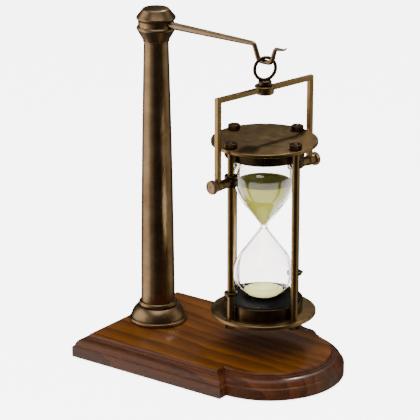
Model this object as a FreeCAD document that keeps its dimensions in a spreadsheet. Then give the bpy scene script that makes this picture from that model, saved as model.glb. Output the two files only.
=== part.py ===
import FreeCAD, Part
import math
import os
import Sketcher

# Hanging hourglass on a turned metal column and a moulded wooden base.
# Frame: +X runs along the base from the column to the glass, +Y across it, +Z up.
# The origin is under the middle of the object, on the surface that it stands on.
# Everything is in millimetres and degrees.

# A value that starts with "=" is a formula in the sheet, so what hangs from the arm follows it.
SIZES = {
    # wooden base
    "board_back": 122.0, "board_front": 53.2, "board_width": 164.0,
    "lobe_centre": 50.4, "lobe_radius": 71.6,
    "board_height": 24.0, "plinth_height": 13.0, "plinth_edge": 1.2,
    "ledge_inset": 1.8, "ovolo_rise": 7.0, "ovolo_inset": 8.4, "ovolo_radius": 8.0,
    "cove_depth": 0.9, "cove_rise": 1.2, "top_inset": 12.6, "top_step": 1.3,
    "felt_thickness": 1.5, "felt_inset": 4.0,
    # column
    "column_place": -80.4, "column_height": 335.0,
    "foot_radius": 27.3, "foot_bead_rise": 4.2, "foot_bead_edge": 1.9,
    "foot_bead_bulge": 0.6, "foot_groove_depth": 0.7,
    "foot_groove": 1.0, "bell_radius": 26.2, "bell_top_radius": 19.6,
    "bell_rise": 10.6, "bell_arc": 17.0,
    "lower_bead_radius": 18.8, "lower_bead_rise": 4.8, "lower_bead_bulge": 1.5,
    "lower_bead_ease": 0.35,
    "shaft_base_radius": 16.3, "shaft_top_radius": 11.7, "shaft_arc": 11800.0,
    "shaft_top_drop": 32.0, "shaft_top_level": "=column_height - shaft_top_drop",
    "necking_radius": 12.4, "necking_rise": 1.6, "necking_bulge": 0.3, "necking_ease": 0.25,
    "capital_low_radius": 12.9, "capital_low_step": 0.5, "capital_low_rise": 1.2,
    "capital_radius": 18.6, "capital_lip": 2.2, "capital_lip_bulge": 0.4,
    "capital_lip_land": 1.0, "capital_top_chamfer": 1.2,
    "capital_top_radius": 17.3, "capital_rise": 15.5,
    "neck_radius": 17.0, "neck_rise": 5.0,
    "cap_radius": 18.7, "cap_lip_bulge": 0.3, "cap_lip_round": 1.68, "cap_lip_low": 1.92,
    "cap_lip_high": 3.84, "cap_flat_radius": 11.9, "cap_shoulder": 1.4, "cap_round": 2.4,
    "cap_roof": 3.0,
    "rod_bore_radius": 3.3, "tie_rod_radius": 3.0, "tie_rod_proud": 1.2,
    "counterbore_radius": 10.0, "counterbore_depth": 8.5,
    "tie_washer_radius": 9.0, "tie_washer_thickness": 1.4,
    "tie_nut_flats": 10.0, "tie_nut_height": 4.8,
    # arm and hook
    "arm_top_drop": 13.7, "arm_level": "=column_height - arm_top_drop",
    "arm_drop": 2.6, "arm_root_depth": 9.0, "arm_socket_radius": 3.75,
    "arm_socket_fit": 0.25, "arm_end_gap": 0.1, "socket_overrun": 3.0,
    "arm_tip_radius": 0.6, "hook_stock": 2.3,
    "hook_fall": 17.9, "hook_bottom": "=arm_level - hook_fall", "hook_slack": 0.25,
    # hanging line, bail and swivel
    "hang_place": 44.0, "bail_turn": 78.0,
    "ring_radius": 10.4, "ring_wire": 1.6, "ring_turn": -31.0,
    "collar_radius": 6.2, "collar_rise": 4.8, "collar_gap": 0.2, "collar_chamfer": 0.5,
    "collar_shoulder": 0.8,
    "shank_radius": 2.4, "shank_fit": 0.1,
    "swivel_nut_radius": 4.4, "swivel_nut_height": 2.4, "swivel_nut_chamfer": 0.3,
    "swivel_well_radius": 5.0,
    "swivel_well_depth": 3.0,
    "bail_bar": 4.7, "bail_half_span": 57.5,
    "boss_radius": 8.5, "boss_flange_radius": 9.6, "boss_flange": 1.3, "boss_neck_rise": 0.6,
    "swivel_fall": 22.0, "boss_top": "=hook_bottom - swivel_fall",
    "boss_height": 8.2, "boss_round": 2.0, "boss_edge": 0.4, "bore_overrun": 1.0,
    "bail_below_boss": 3.4, "bail_level": "=boss_top - bail_below_boss",
    "eye_radius": 5.0,
    # pivots
    "bail_leg": 80.4, "pivot_level": "=bail_level - bail_leg",
    "pin_radius": 2.0, "pin_fit": 0.08, "pin_bed": 0.8, "spacer_bed": 0.5,
    "slider_radius": 6.5, "slider_half_height": 3.6, "slider_fit": 0.1,
    "slider_chamfer": 0.8, "spacer_radius": 4.4, "pivot_play": 0.15,
    "knob_radius": 6.5, "knob_thickness": 4.6, "knob_shoulder": 2.2,
    "knob_shoulder_radius": 4.8, "knob_chamfer": 0.7, "knob_dimple_radius": 1.3,
    "knob_dimple_depth": 0.8, "knob_face": 1.8,
    # cage
    "cage_inner_height": 162.8, "pivot_below_plate": 29.3,
    "cage_middle": "=pivot_level + pivot_below_plate - cage_inner_height / 2",
    "plate_radius": 49.4, "plate_thickness": 3.4, "plate_edge": 0.5,
    "rod_circle": 41.5, "rod_radius": 3.25, "rod_thread_radius": 2.0, "thread_fit": 0.1,
    "nut_radius": 5.9, "nut_height": 4.8, "nut_chamfer": 0.6, "nut_dimple": 0.9,
    "cup_radius": 37.0, "cup_height": 11.5, "cup_wall": 1.5, "cup_floor": 1.2, "cup_edge": 0.4,
    "pad_fit": 0.05, "pad_proud": 0.9,
    "stop_radius": 6.2, "stop_height": 3.6, "stop_fit": 0.02, "stop_chamfer": 0.6,
    "lower_stop_rise": 25.1,
    "screw_radius": 1.3, "screw_reach": 1.5, "screw_turn": 20.0,
    # glass and sand
    "bulb_seat": 10.4, "bulb_end": "=cage_inner_height / 2 - bulb_seat",
    "bulb_cap": 23.0, "bulb_offset": "=bulb_end - bulb_cap",
    "bulb_radius": 28.0, "bulb_corner": 19.0,
    "shoulder_gap": 9.2, "shoulder_radius": "=bulb_offset - shoulder_gap",
    "glass_wall": 1.3, "waist_radius": 3.1, "waist_arc": 4.0, "orifice_radius": 0.9, "sand_gap": 0.15,
    "upper_sand_drop": 4.0, "upper_sand_crater": 7.0,
    "lower_sand_depth": 6.5, "lower_sand_cone": 6.2,
}


class Size:
    """A number that remembers the spreadsheet expression it comes from."""

    def __init__(self, value, text):
        self.value = float(value)
        self.text = text

    def _with(self, other, sign, value):
        text = other.text if isinstance(other, Size) else repr(other)
        return Size(value, "(" + self.text + " " + sign + " " + text + ")")

    def __add__(self, other):
        return self._with(other, "+", self.value + number(other))

    def __sub__(self, other):
        return self._with(other, "-", self.value - number(other))

    def __mul__(self, other):
        return self._with(other, "*", self.value * number(other))

    def __truediv__(self, other):
        return self._with(other, "/", self.value / number(other))

    def __neg__(self):
        return Size(-self.value, "(0 - " + self.text + ")")


def number(size):
    return size.value if isinstance(size, Size) else float(size)


def as_size(size):
    return size if isinstance(size, Size) else Size(size, repr(size))


def root(size):
    return Size(math.sqrt(size.value), "sqrt(" + size.text + ")")


def cosine(angle):
    return Size(math.cos(math.radians(angle.value)), "cos(" + angle.text + ")")


def sine(angle):
    return Size(math.sin(math.radians(angle.value)), "sin(" + angle.text + ")")


doc = FreeCAD.newDocument("hourglass")
sheet = doc.addObject("Spreadsheet::Sheet", "Sizes")


class Table:
    """Gives each named cell of the sheet as a Size."""

    def __getattr__(self, name):
        return Size(sheet.get(name), "Sizes." + name)


cell = Table()


def fill_sheet():
    for row, name in enumerate(SIZES, start=1):
        sheet.set("A%d" % row, name)
        sheet.setAlias("B%d" % row, name)
    for row, value in enumerate(SIZES.values(), start=1):
        sheet.set("B%d" % row, str(value))
    doc.recompute()


fill_sheet()

kept = []       # every sub-part, in the order it was made
NIL = 1e-9      # a length this short is nothing
TOUCH = 1e-6    # points this near are the same point


def keep(item, label):
    item.Label = label
    kept.append(item)
    return item


def bind(item, prop, size):
    size = as_size(size)
    item.setExpression(prop, size.text)


def place(item, x=0.0, y=0.0, z=0.0, turn=None, axis=(0, 0, 1)):
    """Put an object at bound coordinates, turned about one axis by a bound angle."""
    angle = number(turn) if turn is not None else 0.0
    item.Placement = FreeCAD.Placement(
        FreeCAD.Vector(number(x), number(y), number(z)),
        FreeCAD.Rotation(FreeCAD.Vector(*axis), angle))
    for name, size in (("x", x), ("y", y), ("z", z)):
        if isinstance(size, Size):
            bind(item, "Placement.Base." + name, size)
    if isinstance(turn, Size):
        bind(item, "Placement.Rotation.Angle", turn)


def origin_plane(body, role):
    return [f for f in body.Origin.OriginFeatures if f.Role == role][0]


def new_sketch(body, role, name):
    sketch = body.newObject("Sketcher::SketchObject", name)
    sketch.AttachmentSupport = [(origin_plane(body, role), "")]
    sketch.MapMode = "FlatFace"
    return sketch


def pin_point(sketch, geo, end, x, y):
    """Hold one sketch point at bound coordinates."""
    for kind, size in (("DistanceX", as_size(x)), ("DistanceY", as_size(y))):
        if abs(size.value) < NIL:
            axis = -2 if kind == "DistanceX" else -1
            sketch.addConstraint(Sketcher.Constraint("PointOnObject", geo, end, axis))
            continue
        if size.value > 0:
            held = Sketcher.Constraint(kind, -1, 1, geo, end, size.value)
            text = size.text
        else:
            held = Sketcher.Constraint(kind, geo, end, -1, 1, -size.value)
            text = "0 - " + size.text
        index = sketch.addConstraint(held)
        sketch.setExpression("Constraints[%d]" % index, text)


def arc_middle(start, end, radius, side):
    """A point on the arc of this radius from start to end, bulging to one side."""
    chord = end.sub(start)
    half = chord.Length / 2
    sagitta = radius - math.sqrt(radius * radius - half * half)
    normal = FreeCAD.Vector(-chord.y, chord.x, 0).normalize()
    return start.add(chord * 0.5).add(normal * (sagitta * side))


def draw_outline(sketch, points):
    """Close an outline of (x, y) corners; (x, y, radius, side) ends an arc.

    side is +1 when the arc bulges to the left of its chord and -1 to the right.
    """
    where = [FreeCAD.Vector(number(p[0]), number(p[1]), 0) for p in points]
    first = []
    for i, point in enumerate(points):
        start = where[i - 1]
        end = where[i]
        if len(point) == 2:
            geo = sketch.addGeometry(Part.LineSegment(start, end), False)
            first.append((geo, 1, 2))
            continue
        middle = arc_middle(start, end, number(point[2]), point[3])
        geo = sketch.addGeometry(Part.Arc(start, middle, end), False)
        begins = sketch.getPoint(geo, 1).distanceToPoint(start) < TOUCH
        first.append((geo, 1, 2) if begins else (geo, 2, 1))
        index = sketch.addConstraint(Sketcher.Constraint("Radius", geo, number(point[2])))
        if isinstance(point[2], Size):
            sketch.setExpression("Constraints[%d]" % index, point[2].text)
    for i, point in enumerate(points):
        geo, begin, end = first[i]
        after, after_begin, _ = first[(i + 1) % len(points)]
        sketch.addConstraint(Sketcher.Constraint("Coincident", geo, end, after, after_begin))
        pin_point(sketch, geo, end, point[0], point[1])


def draw_circle(sketch, x, y, radius):
    centre = FreeCAD.Vector(number(x), number(y), 0)
    circle = Part.Circle(centre, FreeCAD.Vector(0, 0, 1), number(radius))
    geo = sketch.addGeometry(circle, False)
    index = sketch.addConstraint(Sketcher.Constraint("Radius", geo, number(radius)))
    bind(sketch, "Constraints[%d]" % index, radius)
    if abs(number(x)) < NIL and abs(number(y)) < NIL:
        sketch.addConstraint(Sketcher.Constraint("Coincident", geo, 3, -1, 1))
    else:
        pin_point(sketch, geo, 3, x, y)


def turned(name, points):
    """A lathe-turned piece: half of its section, spun about its own upright axis."""
    body = doc.addObject("PartDesign::Body", name)
    sketch = new_sketch(body, "XZ_Plane", name + "_section")
    draw_outline(sketch, points)
    spin = body.newObject("PartDesign::Revolution", name + "_spin")
    spin.Profile = sketch
    spin.ReferenceAxis = (sketch, ["V_Axis"])
    spin.Angle = 360
    body.Tip = spin
    doc.recompute()
    return body


def slab(name, points, height):
    """A flat piece: an outline on the ground plane raised to a bound height."""
    body = doc.addObject("PartDesign::Body", name)
    sketch = new_sketch(body, "XY_Plane", name + "_outline")
    draw_outline(sketch, points)
    pad = body.newObject("PartDesign::Pad", name + "_pad")
    pad.Profile = sketch
    bind(pad, "Length", height)
    body.Tip = pad
    doc.recompute()
    return body


def cylinder(name, radius, height):
    item = doc.addObject("Part::Cylinder", name)
    bind(item, "Radius", radius)
    bind(item, "Height", height)
    return item


def box(name, length, width, height):
    item = doc.addObject("Part::Box", name)
    bind(item, "Length", length)
    bind(item, "Width", width)
    bind(item, "Height", height)
    return item


def cut(name, base, tool):
    item = doc.addObject("Part::Cut", name)
    item.Base = base
    item.Tool = tool
    return item


def fuse(name, shapes):
    item = doc.addObject("Part::MultiFuse", name)
    item.Shapes = shapes
    item.Refine = True
    return item


def ring_section(inner, outer, low, high, chamfer):
    """Half section of a plain collar with small chamfers on its outer corners."""
    return [(inner, low), (outer - chamfer, low), (outer, low + chamfer),
            (outer, high - chamfer), (outer - chamfer, high), (inner, high)]


# ---- wooden base -----------------------------------------------------------------

def moulding(edge, c):
    """Half section of the moulded edge, from the underside up to the flat top."""
    low = c.felt_thickness
    ledge = c.plinth_height
    ovolo_top = ledge + c.ovolo_rise
    cove_top = ovolo_top + c.cove_rise
    return [
        (edge, low),
        (edge, ledge - c.plinth_edge),
        (edge - c.plinth_edge, ledge),
        (edge - c.ledge_inset, ledge),
        (edge - c.ovolo_inset, ovolo_top, c.ovolo_radius, -1),
        (edge - c.ovolo_inset - c.cove_depth, ovolo_top),
        (edge - c.ovolo_inset - c.cove_depth, cove_top),
        (edge - c.top_inset + c.top_step, cove_top),
        (edge - c.top_inset + c.top_step, c.board_height - c.top_step),
        (edge - c.top_inset, c.board_height),
    ]


def mirrored_section(points):
    """The same section on both sides of the middle line."""
    other_side = []
    for i in range(len(points) - 1, -1, -1):
        point = points[i]
        after = points[i + 1] if i + 1 < len(points) else None
        if after is not None and len(after) == 4:
            other_side.append((-point[0], point[1], after[2], after[3]))
        else:
            other_side.append((-point[0], point[1]))
    return points + other_side


def moulded_prism(name, half, length, role):
    """A bar with the moulded section on both long edges."""
    body = doc.addObject("PartDesign::Body", name)
    sketch = new_sketch(body, role, name + "_section")
    draw_outline(sketch, mirrored_section(moulding(half, cell)))
    pad = body.newObject("PartDesign::Pad", name + "_pad")
    pad.Profile = sketch
    pad.Midplane = True
    bind(pad, "Length", length)
    body.Tip = pad
    doc.recompute()
    return body


def make_base():
    c = cell
    board_length = c.board_back + c.board_front
    board_middle = (c.board_front - c.board_back) / 2
    across = moulded_prism("board_across", board_length / 2, c.board_width * 2, "XZ_Plane")
    place(across, x=board_middle)
    along = moulded_prism("board_along", c.board_width / 2, board_length * 2, "YZ_Plane")
    place(along, x=board_middle)
    board = doc.addObject("Part::MultiCommon", "board_block")
    board.Shapes = [across, along]
    lobe_section = moulding(c.lobe_radius, c)
    lobe_section += [(0.0, c.board_height), (0.0, c.felt_thickness)]
    lobe = turned("board_lobe", lobe_section)
    place(lobe, x=c.lobe_centre)
    blank = fuse("board_blank", [board, lobe])
    bore = cylinder("board_bore", c.rod_bore_radius, c.board_height)
    place(bore, x=c.column_place)
    well = cylinder("board_well", c.counterbore_radius, c.felt_thickness + c.counterbore_depth)
    place(well, x=c.column_place)
    holes = fuse("board_holes", [bore, well])
    keep(cut("board_cut", blank, holes), "base_board")


def make_felt():
    c = cell
    half = c.board_width / 2 - c.felt_inset
    radius = c.lobe_radius - c.felt_inset
    back = -c.board_back + c.felt_inset
    front = c.board_front - c.felt_inset
    meet = root(radius * radius - (front - c.lobe_centre) * (front - c.lobe_centre))
    tip = c.lobe_centre + radius
    outline = [(back, half), (back, -half), (front, -half), (front, -meet),
               (tip, 0.0, radius, -1), (front, meet, radius, -1), (front, half)]
    keep(slab("felt", outline, c.felt_thickness), "base_felt")


# ---- column ----------------------------------------------------------------------

def make_column():
    c = cell
    bore = c.rod_bore_radius
    bell_low = c.foot_bead_rise + c.foot_groove
    bell_high = bell_low + c.bell_rise
    bead_edge = c.foot_radius - c.foot_bead_bulge
    groove_radius = c.bell_radius - c.foot_groove_depth
    foot = turned("foot", [
        (bore, 0.0),
        (bead_edge, 0.0),
        (bead_edge, c.foot_bead_rise, c.foot_bead_edge + c.foot_bead_bulge, -1),
        (groove_radius, c.foot_bead_rise),
        (groove_radius, bell_low),
        (c.bell_radius, bell_low),
        (c.bell_top_radius, bell_high, c.bell_arc, -1),
        (bore, bell_high)])
    place(foot, x=c.column_place, z=c.board_height)
    keep(foot, "column_foot")

    bead_low = c.board_height + bell_high
    bead_flat = c.lower_bead_radius - c.lower_bead_bulge
    bead = turned("lower_bead", [
        (bore, 0.0), (bead_flat, 0.0),
        (bead_flat, c.lower_bead_rise, c.lower_bead_rise / 2 + c.lower_bead_ease, -1),
        (bore, c.lower_bead_rise)])
    place(bead, x=c.column_place, z=bead_low)
    keep(bead, "column_lower_bead")

    shaft_low = bead_low + c.lower_bead_rise
    shaft_rise = c.shaft_top_level - shaft_low
    shaft = turned("shaft", [
        (bore, 0.0), (c.shaft_base_radius, 0.0),
        (c.shaft_top_radius, shaft_rise, c.shaft_arc, -1), (bore, shaft_rise)])
    place(shaft, x=c.column_place, z=shaft_low)
    keep(shaft, "column_shaft")

    lip_low = c.capital_rise - c.capital_lip * 2
    necking_edge = c.necking_radius - c.necking_bulge
    lip_edge = c.capital_radius - c.capital_lip_bulge
    capital = turned("capital_blank", [
        (bore, 0.0), (necking_edge, 0.0),
        (necking_edge, c.necking_rise, c.necking_rise / 2 + c.necking_ease, -1),
        (c.capital_low_radius - c.capital_low_step, c.necking_rise),
        (c.capital_low_radius, c.necking_rise + c.capital_low_rise),
        (lip_edge, lip_low + c.capital_lip_land),
        (lip_edge, c.capital_rise - c.capital_top_chamfer, c.capital_lip, -1),
        (c.capital_top_radius, c.capital_rise),
        (bore, c.capital_rise)])
    place(capital, x=c.column_place, z=c.shaft_top_level)

    neck_low = c.shaft_top_level + c.capital_rise
    neck = turned("neck_blank", [
        (bore, 0.0), (c.neck_radius, 0.0), (c.neck_radius, c.neck_rise),
        (bore, c.neck_rise)])
    place(neck, x=c.column_place, z=neck_low)

    cap_low = neck_low + c.neck_rise
    cap_rise = c.column_height - cap_low
    blind = cap_rise - c.cap_roof
    cap_edge = c.cap_radius - c.cap_lip_bulge
    cap = turned("cap_blank", [
        (0.0, blind), (c.tie_rod_radius, blind), (c.tie_rod_radius, 0.0),
        (c.cap_radius - c.cap_lip_round, 0.0),
        (cap_edge, c.cap_lip_low),
        (cap_edge, c.cap_lip_high, c.cap_lip_round, -1),
        (c.cap_flat_radius + c.cap_shoulder, cap_rise - c.cap_shoulder),
        (c.cap_flat_radius, cap_rise, c.cap_round, -1),
        (0.0, cap_rise)])
    place(cap, x=c.column_place, z=cap_low)

    # the arm is held in a round socket bored through all three pieces
    socket = cylinder("arm_socket", c.arm_socket_radius + c.arm_socket_fit,
                      c.arm_root_depth + c.socket_overrun)
    place(socket, x=c.column_place + c.neck_radius - c.arm_root_depth - c.arm_end_gap,
          z=c.arm_level, turn=as_size(90.0), axis=(0, 1, 0))
    keep(cut("capital", capital, socket), "column_capital")
    keep(cut("neck", neck, socket), "neck_ring")
    keep(cut("cap", cap, socket), "column_cap")
    return cap_low + blind


def make_tie_rod(top):
    c = cell
    washer_low = c.felt_thickness + c.counterbore_depth - c.tie_washer_thickness
    nut_low = washer_low - c.tie_nut_height
    rod_low = nut_low - c.tie_rod_proud
    rod = cylinder("tie_rod", c.tie_rod_radius, top - rod_low)
    place(rod, x=c.column_place, z=rod_low)
    keep(rod, "column_tie_rod")
    washer = turned("tie_washer", [
        (c.tie_rod_radius, 0.0), (c.tie_washer_radius, 0.0),
        (c.tie_washer_radius, c.tie_washer_thickness),
        (c.tie_rod_radius, c.tie_washer_thickness)])
    place(washer, x=c.column_place, z=washer_low)
    keep(washer, "tie_rod_washer")
    hexagon = doc.addObject("Part::Prism", "tie_nut_blank")
    hexagon.Polygon = 6
    bind(hexagon, "Circumradius", c.tie_nut_flats / root(as_size(3.0)))
    bind(hexagon, "Height", c.tie_nut_height)
    place(hexagon, x=c.column_place, z=nut_low)
    bore = cylinder("tie_nut_bore", c.tie_rod_radius, c.tie_nut_height)
    place(bore, x=c.column_place, z=nut_low)
    keep(cut("tie_nut", hexagon, bore), "tie_rod_nut")


# ---- arm with its hook -----------------------------------------------------------

def rounded_path(corners):
    """Straight runs joined by tangent arcs: corners are (x, z, bend radius)."""
    points = [FreeCAD.Vector(x, 0, z) for x, z, _ in corners]
    edges = []
    start = points[0]
    for i in range(1, len(points) - 1):
        before = points[i - 1].sub(points[i]).normalize()
        after = points[i + 1].sub(points[i]).normalize()
        half = before.getAngle(after) / 2
        reach = corners[i][2] / math.tan(half)
        enter = points[i].add(before * reach)
        leave = points[i].add(after * reach)
        bisector = before.add(after).normalize()
        centre = points[i].add(bisector * (corners[i][2] / math.sin(half)))
        middle = centre.sub(bisector * corners[i][2])
        edges.append(Part.LineSegment(start, enter).toShape())
        edges.append(Part.Arc(enter, middle, leave).toShape())
        start = leave
    edges.append(Part.LineSegment(start, points[-1]).toShape())
    return Part.Wire(edges)


def taper(share, knots):
    """Radius at this share of the length, straight between the knots."""
    for (low, low_radius), (high, high_radius) in zip(knots, knots[1:]):
        if share <= high:
            return low_radius + (high_radius - low_radius) * (share - low) / (high - low)
    return knots[-1][1]


# the knee where the arm turns down: its place from the hanging line and its bend radius
ARM_KNEE = (-12.4, 3.6)
# the hook's corners: place from the hanging line, height over its low run, bend radius
HOOK_CORNERS = ((-6.9, 0.0, 4.6), (6.9, 0.0, 4.6), (11.2, 13.9, 3.0), (20.8, 14.3, 4.0),
                (24.2, 17.2, 0.0))
# shares of the bar's length where its taper ends and where its point starts
TAPER_END = 0.64
POINT_START = 0.88


def make_arm():
    """A tapered round bar, forged down into an open hook with a turned-up tip."""
    c = cell
    hang = number(c.hang_place)
    low = number(c.hook_bottom)
    root_x = number(c.column_place + c.neck_radius - c.arm_root_depth)
    corners = [(root_x, number(c.arm_level), 0.0),
               (hang + ARM_KNEE[0], number(c.arm_level - c.arm_drop), ARM_KNEE[1])]
    corners += [(hang + x, low + z, bend) for x, z, bend in HOOK_CORNERS]
    path = rounded_path(corners)
    stock = number(c.hook_stock)
    knots = [(0.0, number(c.arm_socket_radius)), (TAPER_END, stock), (POINT_START, stock),
             (1.0, number(c.arm_tip_radius))]
    runs = []
    walked = 0.0
    for edge in path.Edges:
        begin = walked / path.Length
        walked += edge.Length
        runs.append(tapered_run(edge, taper(begin, knots), taper(walked / path.Length, knots)))
    arm = doc.addObject("Part::Feature", "arm")
    arm.Shape = runs[0].multiFuse(runs[1:]).removeSplitter()
    keep(arm, "hook_arm")


def tapered_run(edge, low_radius, high_radius):
    """One run of the bar: a cone along a line, or a tapered bend round an arc."""
    begin = edge.valueAt(edge.FirstParameter)
    finish = edge.valueAt(edge.LastParameter)
    along = edge.tangentAt(edge.FirstParameter)
    if edge.Curve.TypeId == "Part::GeomLine" and abs(low_radius - high_radius) < TOUCH:
        return Part.makeCylinder(low_radius, edge.Length, begin, along)
    if edge.Curve.TypeId == "Part::GeomLine":
        return Part.makeCone(low_radius, high_radius, edge.Length, begin, along)
    shell = Part.BRepOffsetAPI.MakePipeShell(Part.Wire([edge]))
    for point, direction, radius in ((begin, along, low_radius),
                                     (finish, edge.tangentAt(edge.LastParameter), high_radius)):
        circle = Part.Circle(point, direction, radius).toShape()
        shell.add(Part.Wire([circle]))
    shell.build()
    shell.makeSolid()
    return shell.shape()


# ---- swivel and bail -------------------------------------------------------------

def make_swivel():
    c = cell
    ring_centre = c.hook_bottom + c.hook_stock + c.hook_slack - c.ring_radius + c.ring_wire
    ring = doc.addObject("Part::Torus", "eye_ring")
    bind(ring, "Radius1", c.ring_radius)
    bind(ring, "Radius2", c.ring_wire)
    turn = FreeCAD.Rotation(FreeCAD.Vector(0, 0, 1), number(c.ring_turn))
    upright = FreeCAD.Rotation(FreeCAD.Vector(0, 1, 0), 90)
    ring.Placement = FreeCAD.Placement(FreeCAD.Vector(number(c.hang_place), 0, 0),
                                       turn.multiply(upright))
    bind(ring, "Placement.Base.x", c.hang_place)
    bind(ring, "Placement.Base.z", ring_centre)
    collar_low = c.boss_top + c.collar_gap
    well_floor = c.boss_top - c.boss_height + c.swivel_well_depth
    shank_low = well_floor - c.swivel_nut_height - c.pivot_play
    collar = turned("eye_collar", [
        (0.0, shank_low), (c.shank_radius, shank_low), (c.shank_radius, collar_low),
        (c.collar_radius - c.collar_chamfer, collar_low),
        (c.collar_radius, collar_low + c.collar_chamfer),
        (c.collar_radius, collar_low + c.collar_rise - c.collar_shoulder),
        (c.collar_radius - c.collar_shoulder, collar_low + c.collar_rise),
        (0.0, collar_low + c.collar_rise)])
    place(collar, x=c.hang_place)
    keep(fuse("eye", [ring, collar]), "swivel_eye")
    nut = turned("eye_nut", ring_section(
        c.shank_radius, c.swivel_nut_radius, shank_low, shank_low + c.swivel_nut_height,
        c.swivel_nut_chamfer))
    place(nut, x=c.hang_place)
    keep(nut, "swivel_nut")


def make_bail():
    """A square bar bent into a U, with a boss at its middle and an eye on each leg."""
    c = cell
    bar = c.bail_bar
    half = c.bail_half_span
    outer = half + bar / 2
    top = box("bail_top", outer * 2, bar, bar)
    place(top, x=-outer, y=-bar / 2, z=c.bail_level - bar / 2)
    pieces = [top]
    bores = []
    for side, sign in (("left", -1.0), ("right", 1.0)):
        leg = box("bail_leg_" + side, bar, bar, c.bail_level - c.pivot_level)
        place(leg, x=half * sign - bar / 2, y=-bar / 2, z=c.pivot_level)
        eye = cylinder("bail_eye_" + side, c.eye_radius, bar)
        place(eye, x=half * sign - bar / 2, z=c.pivot_level, turn=as_size(90.0), axis=(0, 1, 0))
        bore = cylinder("bail_bore_" + side, c.pin_radius + c.pin_fit, bar * 2)
        place(bore, x=half * sign - bar, z=c.pivot_level, turn=as_size(90.0), axis=(0, 1, 0))
        pieces += [leg, eye]
        bores.append(bore)
    low = c.boss_top - c.boss_height
    boss = turned("bail_boss", [
        (0.0, low), (c.boss_radius - c.boss_round, low),
        (c.boss_radius, low + c.boss_round, c.boss_round, -1),
        (c.boss_radius, c.boss_top - c.boss_flange - c.boss_neck_rise),
        (c.boss_flange_radius, c.boss_top - c.boss_flange),
        (c.boss_flange_radius, c.boss_top - c.boss_edge),
        (c.boss_flange_radius - c.boss_edge, c.boss_top), (0.0, c.boss_top)])
    pieces.append(boss)
    shank_bore = cylinder("bail_shank_bore", c.shank_radius + c.shank_fit, c.boss_height * 2)
    place(shank_bore, z=low - c.bore_overrun)
    well = cylinder("bail_well", c.swivel_well_radius, c.swivel_well_depth + c.bore_overrun)
    place(well, z=low - c.bore_overrun)
    bores += [shank_bore, well]
    bail = cut("bail", fuse("bail_blank", pieces), fuse("bail_bores", bores))
    place(bail, x=c.hang_place, turn=c.bail_turn)
    keep(bail, "bail_frame")


# ---- cage ------------------------------------------------------------------------

def around(angle, radius):
    """Bound x and y of a point on a circle about the hanging line."""
    x = cell.hang_place + cosine(angle) * radius
    y = sine(angle) * radius
    return x, y


PIVOT_SIDES = (("left", 180.0), ("right", 0.0))
PLAIN_SIDES = (("front", 270.0), ("back", 90.0))


def make_pivots():
    c = cell
    for side, extra in PIVOT_SIDES:
        angle = c.bail_turn + extra
        rod_x, rod_y = around(angle, c.rod_circle)
        bore = c.rod_radius + c.slider_fit
        half = c.slider_half_height
        collar = turned("slider_collar_" + side, ring_section(
            bore, c.slider_radius, -half, half, c.slider_chamfer))
        leg_inner = c.bail_half_span - c.bail_bar / 2 - c.rod_circle
        leg_outer = leg_inner + c.bail_bar
        knob_start = leg_outer + c.pivot_play
        knob_bore = c.knob_shoulder + c.knob_thickness - c.knob_face
        pin_start = bore + c.pin_bed
        pin = cylinder("slider_pin_" + side, c.pin_radius, knob_start + knob_bore - pin_start)
        place(pin, x=pin_start, turn=as_size(90.0), axis=(0, 1, 0))
        slider = fuse("slider_" + side, [collar, pin])
        place(slider, x=rod_x, y=rod_y, z=c.pivot_level, turn=angle)
        keep(slider, "pivot_slider_" + side)

        spacer_blank = cylinder("spacer_blank_" + side, c.spacer_radius,
                                leg_inner - c.pivot_play - bore - c.spacer_bed)
        place(spacer_blank, x=bore + c.spacer_bed, turn=as_size(90.0), axis=(0, 1, 0))
        spacer_bore = cylinder("spacer_bore_" + side, c.pin_radius, leg_outer)
        place(spacer_bore, turn=as_size(90.0), axis=(0, 1, 0))
        seat = cylinder("spacer_seat_" + side, c.slider_radius, half * 4)
        place(seat, z=half * -2)
        tools = fuse("spacer_tools_" + side, [spacer_bore, seat])
        spacer = cut("spacer_" + side, spacer_blank, tools)
        place(spacer, x=rod_x, y=rod_y, z=c.pivot_level, turn=angle)
        keep(spacer, "pivot_spacer_" + side)

        flat = c.knob_shoulder
        tall = c.knob_shoulder + c.knob_thickness
        knob = turned("knob_" + side, [
            (0.0, knob_bore), (c.pin_radius, knob_bore), (c.pin_radius, 0.0),
            (c.knob_shoulder_radius, 0.0), (c.knob_shoulder_radius, flat),
            (c.knob_radius - c.knob_chamfer, flat), (c.knob_radius, flat + c.knob_chamfer),
            (c.knob_radius, tall - c.knob_chamfer), (c.knob_radius - c.knob_chamfer, tall),
            (c.knob_dimple_radius, tall), (0.0, tall - c.knob_dimple_depth)])
        reach = c.rod_circle + knob_start
        knob_x, knob_y = around(angle, reach)
        lay_along(knob, knob_x, knob_y, c.pivot_level, angle)
        keep(knob, "pivot_knob_" + side)


def lay_along(item, x, y, z, angle):
    """Lay a turned piece down so that its axis points outwards at this angle."""
    turn = FreeCAD.Rotation(FreeCAD.Vector(0, 0, 1), number(angle))
    down = FreeCAD.Rotation(FreeCAD.Vector(0, 1, 0), 90)
    item.Placement = FreeCAD.Placement(
        FreeCAD.Vector(number(x), number(y), number(z)), turn.multiply(down))
    bind(item, "Placement.Base.x", x)
    bind(item, "Placement.Base.y", y)
    bind(item, "Placement.Base.z", z)


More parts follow.
